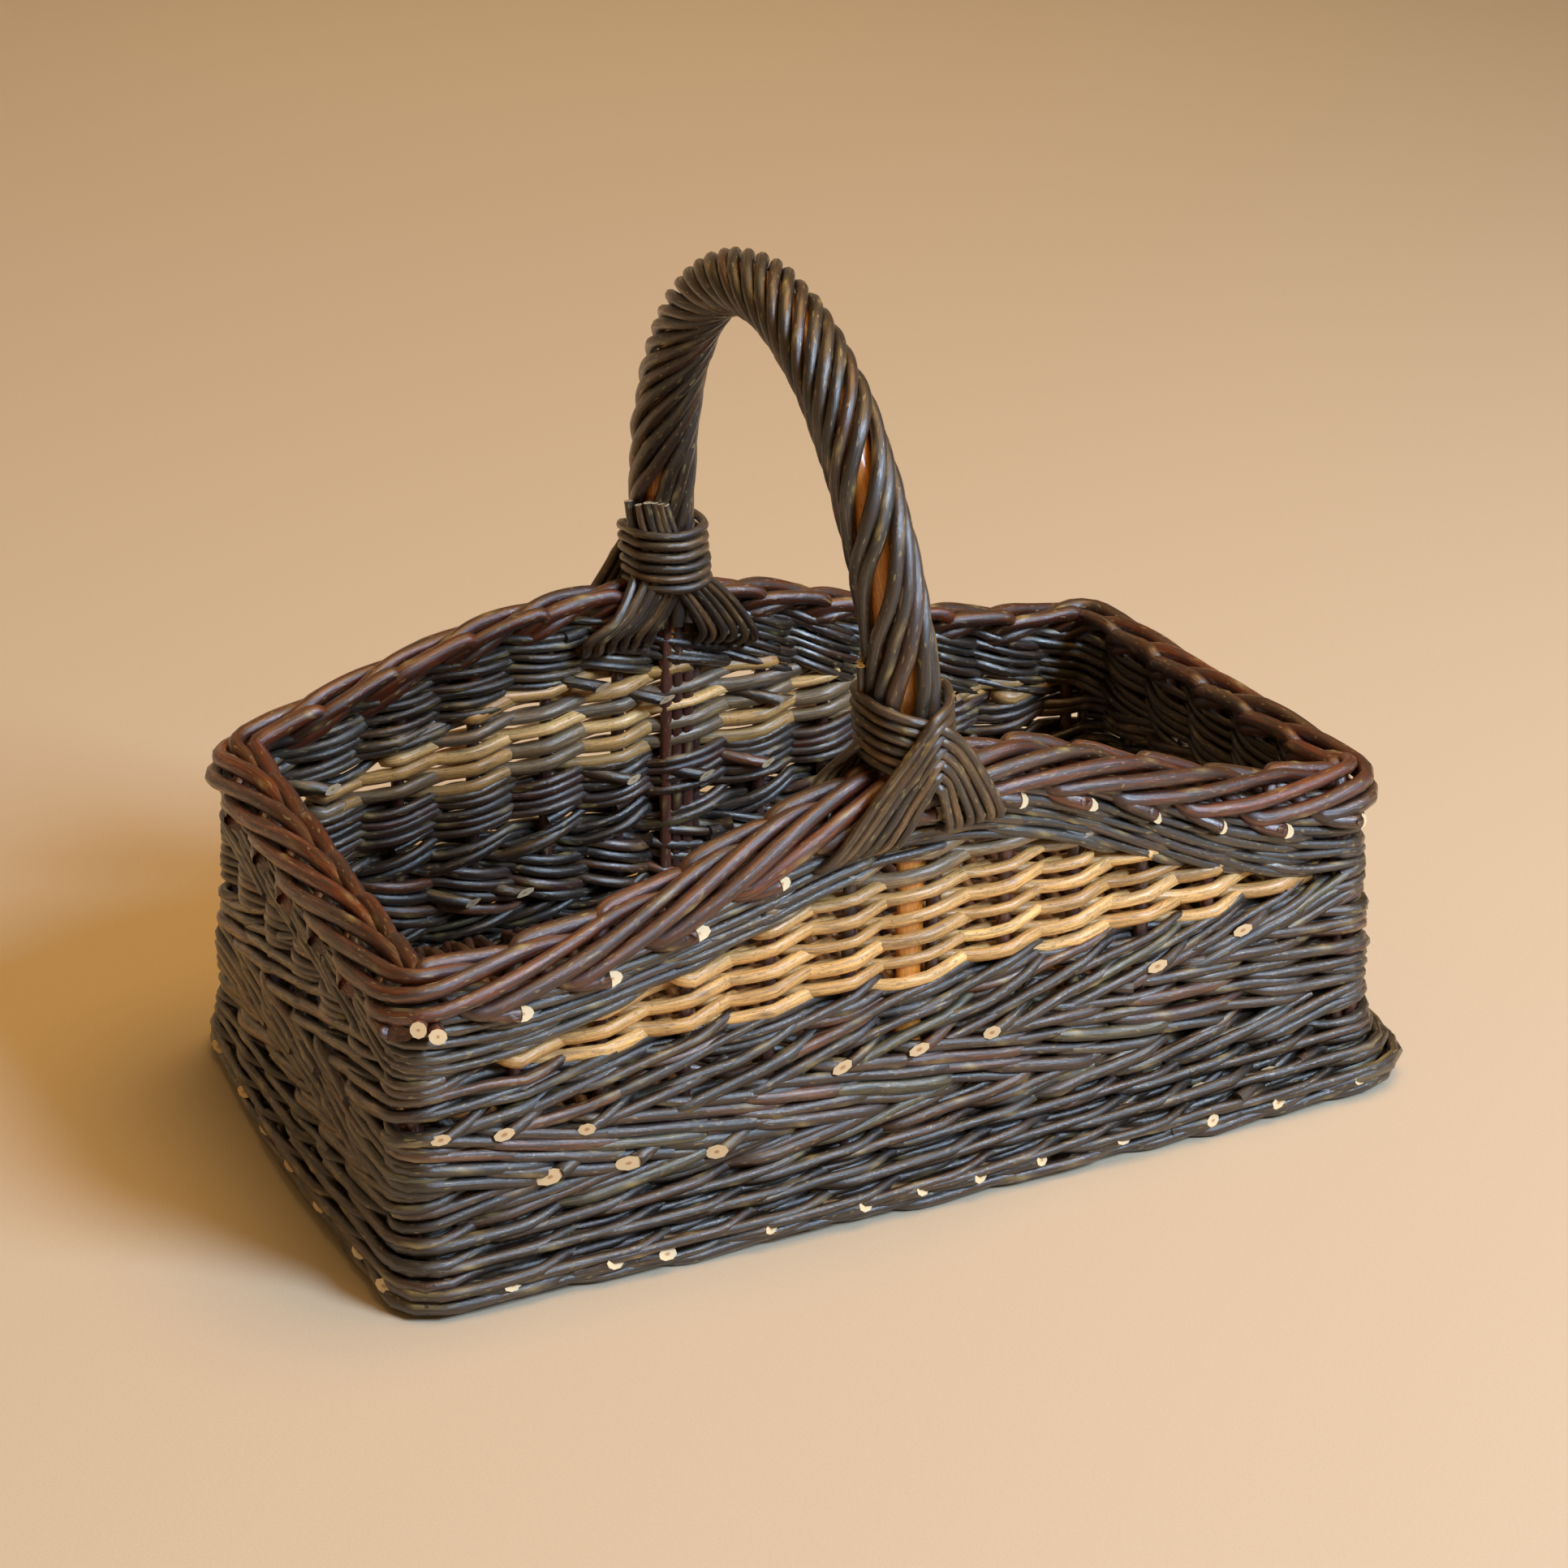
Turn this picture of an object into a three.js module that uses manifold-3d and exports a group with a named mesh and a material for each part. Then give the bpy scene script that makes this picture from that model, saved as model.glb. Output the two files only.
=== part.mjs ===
// Willow trug: an oblong garden basket with a high bow handle.
// Millimetres, +Z up. +X runs along the long sides, the origin lies on the floor under the middle.
import * as THREE from 'three';
import { mergeVertices } from 'three/addons/utils/BufferGeometryUtils.js';
import Module from 'manifold-3d';

const wasm = await Module();
wasm.setup();

// Size of the basket
const wallLength = 456;
const wallShift = -8;
const wallWidthAtFoot = 248;
const wallWidthAtRim = 224;
const wallThickness = 17;
const cornerRadius = 10;
const leftEndSkew = 0.045;
const footLength = 481;
const footWidth = 271;
const footBulge = 6;
const footHeight = 32;
const footRounds = 4;
const footGroove = 1.8;
const footTwist = THREE.MathUtils.degToRad(-3.4);
const clearance = 0.3;

// Heights of the bands of weave
const sidingHeightFront = 92;
const sidingHeightBack = 116;
const sidingRamp = 34;
const sidingBelowWale = 1;
const packingLeast = 5;
const waleHeight = 22;
const waleNarrowing = 3;
const borderUnderside = 123;
const borderHeight = 22;
const borderWidth = 22;

// Raised middle of the rim: the back stands a little higher, with its peak left of the middle
const rimRise = 46;
const rimShoulder = 1.2;
const backRimLift = 5;
const backRimRise = 50;
const backRimReach = 260;
const backRimPeak = -50;

// Rods that stand up in the wall
const stakeDiameter = 6.4;
const cornerStakeDiameter = 7.5;
const stakesLeftOfBow = 5;
const stakesRightOfBow = 7;
const stakesPerEnd = 5;
const stakeBesideBow = -3;
const stakeFromRightCorner = 12;
const stakeFromLeftCorner = 42;
const stakeDepthInFoot = 24;
const stakeTopGap = 1.2;

// Base
const baseThickness = 16;
const baseAboveFootTop = 9;
const baseStickDiameter = 8;
const baseStickCount = 5;

// Bow of the handle
const bowDiameter = 16;
const bowFlatWidth = 12;
const bowFlatThickness = 7;
const handleRise = 164;
const bowStraightRise = 5;
const bowFlatDepth = 41;
const bowRoundingHeight = 48;
const bowLean = 0.085;
const bowFootRise = 8;
const gapBesideBow = 1.8;

// Rods wound round the bow
const wrapRods = 5;
const wrapDiameter = 5.2;
const wrapSteps = 36;
const wrapLayAtFoot = THREE.MathUtils.degToRad(14);
const wrapLayAtTop = THREE.MathUtils.degToRad(27);
const wrapClearance = 0.35;

// Lashing at each foot of the bow
const lashingDiameter = 3.1;
const lashingLoops = 5;
const lashingPitch = 5.2;
const lashingSlotPitch = 5.5;
const lashingLayer = 3.9;
const lashingRise = 15;
const lashingDrop = 6;
const lashingClearance = 0.7;

// Sizes that follow from the ones above
const halfWall = wallThickness / 2;
const halfLength = wallLength / 2 - halfWall;
const wallLeft = wallShift - halfLength;
const wallRight = wallShift + halfLength;
const rimHeight = borderUnderside + borderHeight;
const rimMiddle = rimHeight + rimRise;
const stakePitch = (wallRight - stakeFromRightCorner - stakeBesideBow) / (stakesRightOfBow - 1);
const endStakePitch = (wallWidthAtRim - wallThickness) / (stakesPerEnd + 1);
const bowX = stakeBesideBow - stakeDiameter / 2 - gapBesideBow - bowFlatWidth / 2;
const stakeLeftOfBow = bowX - bowFlatWidth / 2 - gapBesideBow - stakeDiameter / 2 - stakePitch / 2;
const stakePitchLeft = (stakeLeftOfBow - wallLeft - stakeFromLeftCorner) / (stakesLeftOfBow - 1);
const bowHalfSpan = wallWidthAtRim / 2 - halfWall;
const bowSpring = rimMiddle + bowStraightRise;
const bowApex = rimMiddle + handleRise;
const bowFlatTop = rimMiddle - bowFlatDepth;
const bowFoot = footHeight + bowFootRise;
const baseHeight = footHeight + baseAboveFootTop - baseThickness;
const baseStickPitch = (wallWidthAtFoot - 2 * wallThickness) / baseStickCount;
const lashingReachLeft = stakeLeftOfBow - stakePitch / 2;
const lashingReachRight = stakeBesideBow + stakePitch / 2;

// Colours of the willow
const darkBark = 0x3a2d25;
const redBark = 0x71402c;
const buffBark = 0xa18f68;
const baseBark = 0x7a4e36;
const peeledWood = 0xd58a22;
const wrapBark = 0x40302a;

// Closed mesh from rows of points, each row one section of the piece
function loft(sections, joined) {
  const count = sections[0].length;
  const positions = sections.flat().flatMap((point) => [point.x, point.y, point.z]);
  const triangles = [];
  const rows = joined ? sections.length : sections.length - 1;
  for (let row = 0; row < rows; row += 1) {
    const next = (row + 1) % sections.length;
    for (let side = 0; side < count; side += 1) {
      const after = (side + 1) % count;
      const a = row * count + side;
      const b = row * count + after;
      const c = next * count + after;
      const d = next * count + side;
      triangles.push(a, b, c, a, c, d);
    }
  }
  if (!joined) {
    const last = (sections.length - 1) * count;
    for (let side = 1; side < count - 1; side += 1) {
      triangles.push(0, side + 1, side);
      triangles.push(last, last + side, last + side + 1);
    }
  }
  const geometry = new THREE.BufferGeometry();
  geometry.setAttribute('position', new THREE.Float32BufferAttribute(positions, 3));
  geometry.setIndex(signedVolume(positions, triangles) < 0 ? flipped(triangles) : triangles);
  return geometry;
}

function signedVolume(positions, triangles) {
  const corner = (index) => new THREE.Vector3().fromArray(positions, index * 3);
  let volume = 0;
  for (let i = 0; i < triangles.length; i += 3) {
    const normal = corner(triangles[i + 1]).cross(corner(triangles[i + 2]));
    volume += corner(triangles[i]).dot(normal);
  }
  return volume;
}

function flipped(triangles) {
  const turned = [];
  for (let i = 0; i < triangles.length; i += 3) {
    turned.push(triangles[i], triangles[i + 2], triangles[i + 1]);
  }
  return turned;
}

// Solids for cutting
function solidOf(geometry) {
  const bare = geometry.clone();
  bare.deleteAttribute('normal');
  bare.deleteAttribute('uv');
  const merged = mergeVertices(bare, 1e-4);
  return new wasm.Manifold(new wasm.Mesh({
    numProp: 3,
    vertProperties: new Float32Array(merged.attributes.position.array),
    triVerts: new Uint32Array(merged.index.array),
  }));
}

function geometryOf(solid) {
  const mesh = solid.getMesh();
  const geometry = new THREE.BufferGeometry();
  geometry.setAttribute('position', new THREE.Float32BufferAttribute(mesh.vertProperties, 3));
  geometry.setIndex(new THREE.Uint32BufferAttribute(mesh.triVerts, 1));
  return geometry;
}

function cut(geometry, tools) {
  let solid = solidOf(geometry);
  for (const tool of tools) {
    solid = solid.subtract(solidOf(tool));
  }
  return geometryOf(solid);
}

// Shape of the wall: a rounded oblong whose long sides lean in and turn slightly towards the rim.
// Its left end gets askew on the way up.
function shareOfWall(z) {
  return THREE.MathUtils.clamp((z - footHeight) / (rimHeight - footHeight), 0, 1);
}

function halfWidthAt(z) {
  return THREE.MathUtils.lerp(wallWidthAtFoot, wallWidthAtRim, shareOfWall(z)) / 2 - halfWall;
}

function twistAt(z) {
  return footTwist * (1 - shareOfWall(z));
}

function turned(x, y, z) {
  const nearLeft = THREE.MathUtils.clamp((wallRight - x) / (2 * halfLength), 0, 1) ** 4;
  const skewed = x + leftEndSkew * y * shareOfWall(z) * nearLeft;
  return new THREE.Vector3(skewed, y, z).applyAxisAngle(new THREE.Vector3(0, 0, 1), twistAt(z));
}

// Places round the wall, anticlockwise from the front left corner
function wallPlaces(longSteps, shortSteps, cornerSteps) {
  const places = [];
  const corners = [[-1, -1, 180], [1, -1, 270], [1, 1, 0], [-1, 1, 90]];
  corners.forEach(([endX, endY, startAngle], index) => {
    for (let i = 0; i <= cornerSteps; i += 1) {
      const angle = THREE.MathUtils.degToRad(startAngle + 90 * i / cornerSteps);
      places.push({ alongX: endX, alongY: endY, angle });
    }
    const onLongSide = index % 2 === 0;
    const steps = onLongSide ? longSteps : shortSteps;
    const angle = THREE.MathUtils.degToRad(startAngle + 90);
    for (let i = 1; i < steps; i += 1) {
      const share = 1 - 2 * i / steps;
      places.push(onLongSide
        ? { alongX: endX * share, alongY: endY, angle }
        : { alongX: endX, alongY: endY * share, angle });
    }
  });
  return places;
}

function wallPoint(place, offset, z) {
  const cornerX = wallShift + place.alongX * (halfLength - cornerRadius);
  const x = cornerX + (cornerRadius + offset) * Math.cos(place.angle);
  const y = place.alongY * (halfWidthAt(z) - cornerRadius) + (cornerRadius + offset) * Math.sin(place.angle);
  return turned(x, y, z);
}

function nominalX(place) {
  return wallShift + place.alongX * (halfLength - cornerRadius) + cornerRadius * Math.cos(place.angle);
}

function onEnd(place) {
  return Math.abs(Math.cos(place.angle)) > 0.01;
}

// Heights of the bands of weave, which follow the rim. The side goes from -1 in front to 1 at the back.
function hill(distance, reach) {
  return (1 + Math.cos(Math.PI * THREE.MathUtils.clamp(distance / reach, -1, 1))) / 2;
}

function bySide(front, back, side) {
  return THREE.MathUtils.lerp(front, back, (side + 1) / 2);
}

function borderLow(x, side) {
  const front = borderUnderside + rimRise * hill(x, wallRight) ** rimShoulder;
  const back = borderUnderside + backRimLift + backRimRise * hill(x - backRimPeak, backRimReach);
  return bySide(front, back, side);
}

function packingTop(x, side) {
  return borderLow(x, side) - waleHeight + waleNarrowing * hill(x, wallRight);
}

function sidingTop(x, side) {
  const level = bySide(sidingHeightFront, sidingHeightBack, side);
  const highest = packingTop(x, side);
  const fromMiddle = Math.abs(x - wallShift);
  const share = THREE.MathUtils.clamp((fromMiddle - halfLength + sidingRamp) / sidingRamp, 0, 1);
  return THREE.MathUtils.lerp(Math.min(level, highest - packingLeast), highest - sidingBelowWale, share);
}

const allRound = wallPlaces(14, 4, 3);

function band(places, lowOf, highOf, joined) {
  return loft(places.map((place) => [
    wallPoint(place, halfWall, lowOf(place)),
    wallPoint(place, halfWall, highOf(place)),
    wallPoint(place, -halfWall, highOf(place)),
    wallPoint(place, -halfWall, lowOf(place)),
  ]), joined);
}

// Rods standing in the wall: the same line places a stake and the channel it passes through
function stakeLine(at, topOf) {
  const reach = cornerStakeDiameter / 2;
  const high = Math.min(topOf(-reach), topOf(reach)) - stakeTopGap;
  return { low: at(footHeight - stakeDepthInFoot), high: at(high) };
}

function rodGeometry(line, diameter, extra) {
  const length = line.low.distanceTo(line.high) + 2 * extra;
  return new THREE.CylinderGeometry(diameter / 2, diameter / 2, length, 6).rotateX(Math.PI / 2);
}

function rodTurn(line) {
  const direction = line.high.clone().sub(line.low).normalize();
  return new THREE.Quaternion().setFromUnitVectors(new THREE.Vector3(0, 0, 1), direction);
}

function channel(line, diameter) {
  const wide = diameter + 2 * clearance / Math.cos(Math.PI / 6);
  const middle = line.low.clone().lerp(line.high, 0.5);
  const matrix = new THREE.Matrix4().compose(middle, rodTurn(line), new THREE.Vector3(1, 1, 1));
  return rodGeometry(line, wide, clearance).applyMatrix4(matrix);
}

const stakes = [];
for (const [name, sideY] of [['front', -1], ['back', 1]]) {
  const count = stakesLeftOfBow + stakesRightOfBow;
  for (let i = 0; i < count; i += 1) {
    const x = i < stakesLeftOfBow
      ? stakeLeftOfBow - (stakesLeftOfBow - 1 - i) * stakePitchLeft
      : stakeBesideBow + (i - stakesLeftOfBow) * stakePitch;
    const at = (z) => turned(x, sideY * halfWidthAt(z), z);
    stakes.push({
      name: `${name}_stake_${i + 1}`,
      line: stakeLine(at, (step) => borderLow(x + step, sideY)),
      diameter: stakeDiameter,
    });
  }
}
for (const [name, x] of [['left', wallLeft], ['right', wallRight]]) {
  for (let i = 0; i < stakesPerEnd; i += 1) {
    const y = (i - (stakesPerEnd - 1) / 2) * endStakePitch;
    const straight = bowHalfSpan - cornerRadius;
    stakes.push({
      name: `${name}_stake_${i + 1}`,
      line: stakeLine((z) => turned(x, y, z), (step) => borderLow(x, (y + step) / straight)),
      diameter: stakeDiameter,
    });
  }
}
for (const [number, [sideX, sideY]] of [[-1, -1], [1, -1], [1, 1], [-1, 1]].entries()) {
  const place = { alongX: sideX, alongY: sideY, angle: Math.atan2(sideY, sideX) };
  stakes.push({
    name: `corner_stake_${number + 1}`,
    line: stakeLine((z) => wallPoint(place, 0, z), (step) => borderLow(nominalX(place) + step, sideY)),
    diameter: cornerStakeDiameter,
  });
}
const stakeChannels = stakes.map((stake) => channel(stake.line, stake.diameter));

// Line of the bow: flat legs inside the wall, then a half oval that leans a little to the left
function bowCentre(z, sideY, y) {
  const x = bowX - bowLean * Math.max(0, z - bowFlatTop);
  return turned(x, y === undefined ? sideY * halfWidthAt(z) : y, z);
}

function bowSpanAt(z) {
  return bowHalfSpan * Math.sqrt(1 - ((z - bowSpring) / (bowApex - bowSpring)) ** 2);
}

function bowStations() {
  const legHeights = [0, 0, 1 / 3, 2 / 3].map((share) => bowFlatTop + share * bowRoundingHeight);
  legHeights[0] = bowFoot;
  const leg = (z, sideY) => ({
    point: bowCentre(z, sideY),
    flat: 1 - Math.max(0, z - bowFlatTop) / bowRoundingHeight,
  });
  const arch = [];
  for (let i = 0; i <= wrapSteps; i += 1) {
    const angle = Math.PI * (i / wrapSteps - 0.5);
    const z = bowSpring + (bowApex - bowSpring) * Math.cos(angle);
    arch.push({ point: bowCentre(z, 0, bowHalfSpan * Math.sin(angle)), flat: 0 });
  }
  const front = legHeights.map((z) => leg(z, -1));
  const back = legHeights.map((z) => leg(z, 1)).reverse();
  return [...front, ...arch, ...back];
}

// At each station: along the bow, to its right side, and towards the hand
function addFrames(stations) {
  stations.forEach((station, i) => {
    const before = stations[Math.max(i - 1, 0)].point;
    const after = stations[Math.min(i + 1, stations.length - 1)].point;
    station.along = after.clone().sub(before).normalize();
    const right = new THREE.Vector3(1, 0, 0);
    station.right = right.addScaledVector(station.along, -station.along.x).normalize();
    station.inward = station.along.clone().cross(station.right);
  });
  return stations;
}

const bowLine = addFrames(bowStations());

function bowSection(station, extra) {
  const sides = 8;
  const halfWide = THREE.MathUtils.lerp(bowDiameter, bowFlatWidth, station.flat) / 2 + extra;
  const halfThick = THREE.MathUtils.lerp(bowDiameter, bowFlatThickness, station.flat) / 2 + extra;
  const section = [];
  for (let side = 0; side < sides; side += 1) {
    const angle = 2 * Math.PI * (side + 0.5) / sides;
    section.push(station.point.clone()
      .addScaledVector(station.right, halfWide * Math.cos(angle))
      .addScaledVector(station.inward, halfThick * Math.sin(angle)));
  }
  return section;
}

const bowGeometry = loft(bowLine.map((station) => bowSection(station, 0)), false);
const bowChannelLine = addFrames(bowStations());
bowChannelLine[0].point.z -= clearance;
bowChannelLine[bowChannelLine.length - 1].point.z -= clearance;
const bowChannel = loft(bowChannelLine.map((station) => bowSection(station, clearance * 1.2)), false);

// Tube round a line of points, with its section carried along without twist
function tube(points, diameter) {
  const sides = 6;
  let across = null;
  const sections = points.map((point, i) => {
    const before = points[Math.max(i - 1, 0)];
    const after = points[Math.min(i + 1, points.length - 1)];
    const along = after.clone().sub(before).normalize();
    if (across === null) {
      const helper = Math.abs(along.z) > 0.9 ? new THREE.Vector3(1, 0, 0) : new THREE.Vector3(0, 0, 1);
      across = helper.addScaledVector(along, -helper.dot(along)).normalize();
    } else {
      across = across.clone().addScaledVector(along, -across.dot(along)).normalize();
    }
    const third = along.clone().cross(across);
    const section = [];
    for (let side = 0; side < sides; side += 1) {
      const angle = 2 * Math.PI * side / sides;
      section.push(point.clone()
        .addScaledVector(across, diameter / 2 * Math.cos(angle))
        .addScaledVector(third, diameter / 2 * Math.sin(angle)));
    }
    return section;
  });
  return loft(sections, false);
}

// Least free space between two stretches of one tube that lie side by side
function leastGap(points, diameter) {
  const fine = [];
  for (let i = 0; i < points.length - 1; i += 1) {
    for (let share = 0; share < 1; share += 0.25) {
      fine.push(points[i].clone().lerp(points[i + 1], share));
    }
  }
  const travelled = [0];
  for (let i = 1; i < fine.length; i += 1) {
    travelled.push(travelled[i - 1] + fine[i].distanceTo(fine[i - 1]));
  }
  let least = Infinity;
  for (let i = 0; i < fine.length; i += 1) {
    for (let j = i + 1; j < fine.length; j += 1) {
      if (travelled[j] - travelled[i] > 3 * diameter) {
        least = Math.min(least, fine[i].distanceTo(fine[j]));
      }
    }
  }
  return least - diameter;
}

// One wound rod: over the bow from front to back, a turn at the back foot, and back beside itself
const wrapRadius = bowDiameter / 2 + wrapClearance + wrapDiameter / 2;
const legStations = (bowLine.length - wrapSteps - 1) / 2;
const backRimTop = borderLow(bowX, 1) + borderHeight;
const wrapStations = bowLine.slice(legStations, legStations + wrapSteps + 1).filter(
  (station) => station.point.y < 0 || station.point.z > backRimTop + wrapDiameter,
);

function wrapAngles() {
  const angles = [0];
  for (let i = 1; i < wrapStations.length; i += 1) {
    const position = Math.cos(Math.PI * ((i - 0.5) / wrapSteps - 0.5)) ** 2;
    const lay = THREE.MathUtils.lerp(wrapLayAtFoot, wrapLayAtTop, position);
    const step = wrapStations[i].point.distanceTo(wrapStations[i - 1].point);
    angles.push(angles[i - 1] + Math.tan(lay) * step / wrapRadius);
  }
  return angles;
}

function roundBow(station, angle, onward) {
  return station.point.clone()
    .addScaledVector(station.right, wrapRadius * Math.cos(angle))
    .addScaledVector(station.inward, wrapRadius * Math.sin(angle))
    .addScaledVector(station.along, onward);
}

function wrapRodPoints(index) {
  const angles = wrapAngles();
  const strands = 2 * wrapRods;
  const spacing = 2 * Math.PI / strands;
  const start = 2 * index * spacing;
  const out = wrapStations.map((station, i) => roundBow(station, start + angles[i], 0));
  const home = wrapStations.map((station, i) => roundBow(station, start + spacing + angles[i], 0));
  const last = wrapStations[wrapStations.length - 1];
  const middle = start + spacing / 2 + angles[angles.length - 1];
  const turnRadius = wrapRadius * Math.sin(spacing / 2);
  const turn = [36, 72, 108, 144].map((degrees) => {
    const swing = THREE.MathUtils.degToRad(degrees);
    return roundBow(last, middle - spacing / 2 * Math.cos(swing), turnRadius * Math.sin(swing));
  });
  return [...out, ...turn, ...home.reverse()].slice(1, -1);
}

// Lashing: crossed diagonals outside, level turns round the bow, and runs under the border inside
function lashingPoints(sideY) {
  const points = [];
  const at = (x, outward, z) => points.push(new THREE.Vector3(x, sideY * outward, z));
  const spread = (from, to, share) => THREE.MathUtils.lerp(from, to, THREE.MathUtils.clamp(share, 0, 1));
  const reach = lashingDiameter / 2 + lashingClearance;
  const under = wrapRadius + wrapDiameter / 2 + reach;
  const over = under + lashingLayer;
  const wallOut = wallWidthAtRim / 2 + reach + clearance;
  const wallIn = wallWidthAtRim / 2 - wallThickness - reach;
  const borderOut = wallWidthAtRim / 2 - halfWall + borderWidth / 2 + reach;
  const last = lashingLoops - 1;
  const slotLeft = (k) => lashingReachLeft - (k - last / 2) * lashingSlotPitch;
  const slotRight = (k) => lashingReachRight + (k - last / 2) * lashingSlotPitch;
  const slotZ = (x) => lashingSlotHeight(x < 0 ? lashingReachLeft : lashingReachRight, sideY);
  const middle = rimMiddle + borderLow(bowX, sideY) - borderLow(bowX, -1) + lashingRise;
  const overBow = (x, z, radius, squareness) => {
    const centre = bowCentre(z, 1, bowSpanAt(Math.max(z, bowSpring)));
    const share = Math.min(1, Math.abs(x - centre.x) / radius);
    return centre.y + radius * (1 - share ** squareness) ** (1 / squareness);
  };
  for (let k = 0; k < lashingLoops; k += 1) {
    const left = slotLeft(k);
    const right = slotRight(k);
    const high = middle + (k - last / 2) * lashingPitch;
    const bowAt = bowCentre(high, 1, bowSpanAt(high));
    at(left, wallIn, slotZ(left));
    at(left, wallOut, slotZ(left));
    for (const share of [0.12, 0.3, 0.48, 0.64, 0.8, 0.93]) {
      const x = spread(left, bowAt.x + over, share);
      const z = spread(slotZ(left), high, share * 1.06);
      const outward = overBow(x, z, over, 4);
      at(x, share < 0.8 ? Math.max(borderOut, outward) : outward, z);
    }
    for (let degrees = 0; degrees <= 180; degrees += 30) {
      const angle = THREE.MathUtils.degToRad(degrees);
      const radius = spread(over, under, degrees / 90) / Math.cos(THREE.MathUtils.degToRad(15));
      at(bowAt.x + radius * Math.cos(angle), bowAt.y - radius * Math.sin(angle), high);
    }
    for (const share of [0.03, 0.12, 0.25, 0.42, 0.62, 0.84]) {
      const x = spread(bowAt.x - under, right, share);
      const z = spread(high, slotZ(right), share * 1.06 - 0.06);
      const outward = overBow(x, z, under, 2);
      at(x, share > 0.4 ? Math.max(borderOut, outward) : outward, z);
    }
    at(right, wallOut, slotZ(right));
    at(right, wallIn, slotZ(right));
    if (k < last) {
      const low = Math.min(slotZ(left), slotZ(right)) - (k + 1) * lashingLayer;
      at(right, wallIn, low);
      at(slotLeft(k + 1), wallIn, low);
    }
  }
  return points;
}

// Slots under the border that the lashing passes through
const slotReach = (lashingLoops - 1) / 2 * lashingSlotPitch + lashingDiameter / 2 + clearance;

function lashingSlotHeight(centre, side) {
  const ends = [centre - slotReach, centre + slotReach];
  return Math.min(...ends.map((x) => borderLow(x, side))) - lashingDrop;
}

function lashingSlots() {
  const slots = [];
  const depth = 3 * wallThickness;
  for (const side of [-1, 1]) {
    for (const centre of [lashingReachLeft, lashingReachRight]) {
      const slot = new THREE.BoxGeometry(2 * slotReach, depth, lashingDiameter + 2 * clearance);
      slots.push(slot.translate(centre, side * bowHalfSpan, lashingSlotHeight(centre, side)));
    }
  }
  return slots;
}

// Assembly
const group = new THREE.Group();

function add(parent, name, geometry, colour, roughness) {
  const material = new THREE.MeshStandardMaterial({ color: colour, roughness, metalness: 0 });
  const mesh = new THREE.Mesh(geometry, material);
  mesh.name = name;
  parent.add(mesh);
  return mesh;
}

// Base: lengthwise sticks in a slab of weave, inside the foot
const sticks = [];
for (let i = 0; i < baseStickCount; i += 1) {
  sticks.push((i - (baseStickCount - 1) / 2) * baseStickPitch);
}
const stickLength = wallLength - 2 * wallThickness - 2 * baseStickDiameter;
const stickHeight = baseHeight + baseThickness / 2;

function stickGeometry(radius, length) {
  return new THREE.CylinderGeometry(radius, radius, length, 6).rotateZ(Math.PI / 2);
}

const slab = loft([baseHeight, footHeight, baseHeight + baseThickness].map(
  (z) => wallPlaces(1, 1, 3).map((place) => wallPoint(place, -halfWall - clearance, z)),
), false);
const stickHoles = sticks.map((y) => {
  const radius = baseStickDiameter / 2 + clearance / Math.cos(Math.PI / 6);
  const hole = stickGeometry(radius, wallLength).translate(wallShift, y, stickHeight);
  return hole.rotateZ(twistAt(stickHeight));
});
add(group, 'base_weave', cut(slab, stickHoles), baseBark, 0.7);
const stickRack = new THREE.Group();
stickRack.position.z = stickHeight;
stickRack.rotation.z = twistAt(stickHeight);
group.add(stickRack);
sticks.forEach((y, i) => {
  const rod = stickGeometry(baseStickDiameter / 2, stickLength);
  const stick = add(stickRack, `base_stick_${i + 1}`, rod, redBark, 0.7);
  stick.position.set(wallShift, y, 0);
});

// Foot: a flared roll of heavy waling that the basket stands on, with a ridge for each round
const flareLength = (footLength - wallLength) / 2;
const flareWidth = (footWidth - wallWidthAtFoot) / 2;
const footKneeHeight = 0.35 * footHeight;
const footKneeDrawIn = 0.8;
const footRound = footHeight / footRounds;

function footFlareShare(z) {
  return z < footKneeHeight
    ? THREE.MathUtils.lerp(footKneeDrawIn, 1, z / footKneeHeight)
    : (footHeight - z) / (footHeight - footKneeHeight);
}

const footOutline = [[0, 0]];
for (let round = 0; round < footRounds; round += 1) {
  if (round > 0) {
    footOutline.push([round * footRound, -footGroove]);
  }
  footOutline.push([(round + 0.25) * footRound, 0], [(round + 0.75) * footRound, 0]);
}
footOutline.push([footHeight, 0]);
const footSections = wallPlaces(6, 2, 4).map((place) => {
  const sideShare = Math.abs(Math.sin(place.angle));
  const bulge = footBulge * (1 - (sideShare > 0.5 ? place.alongX : place.alongY) ** 2);
  const flareAtEnd = flareLength - place.alongX * wallShift;
  const flare = THREE.MathUtils.lerp(flareAtEnd, flareWidth, sideShare ** 2) + bulge;
  return [
    ...footOutline.map(([z, groove]) => wallPoint(place, halfWall + flare * footFlareShare(z) + groove, z)),
    wallPoint(place, -halfWall, footHeight),
    wallPoint(place, -halfWall, 0),
  ];
});
add(group, 'foot_wale', cut(loft(footSections, true), stakeChannels), darkBark, 0.5);

// Siding: two bands of dark weave all the way round
const siding = band(
  allRound,
  () => footHeight + clearance,
  (place) => sidingTop(nominalX(place), place.alongY),
  true,
);
add(group, 'side_weave', cut(siding, [...stakeChannels, bowChannel]), darkBark, 0.5);

// Packing: light rods that build up the middle of each long side
for (const [name, sideY] of [['packing_front', -1], ['packing_back', 1]]) {
  const places = allRound.filter((place) => place.alongY === sideY && !onEnd(place));
  const packing = band(
    places,
    (place) => sidingTop(nominalX(place), sideY) + clearance,
    (place) => packingTop(nominalX(place), sideY),
    false,
  );
  add(group, name, cut(packing, [...stakeChannels, bowChannel]), buffBark, 0.6);
}

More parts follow.
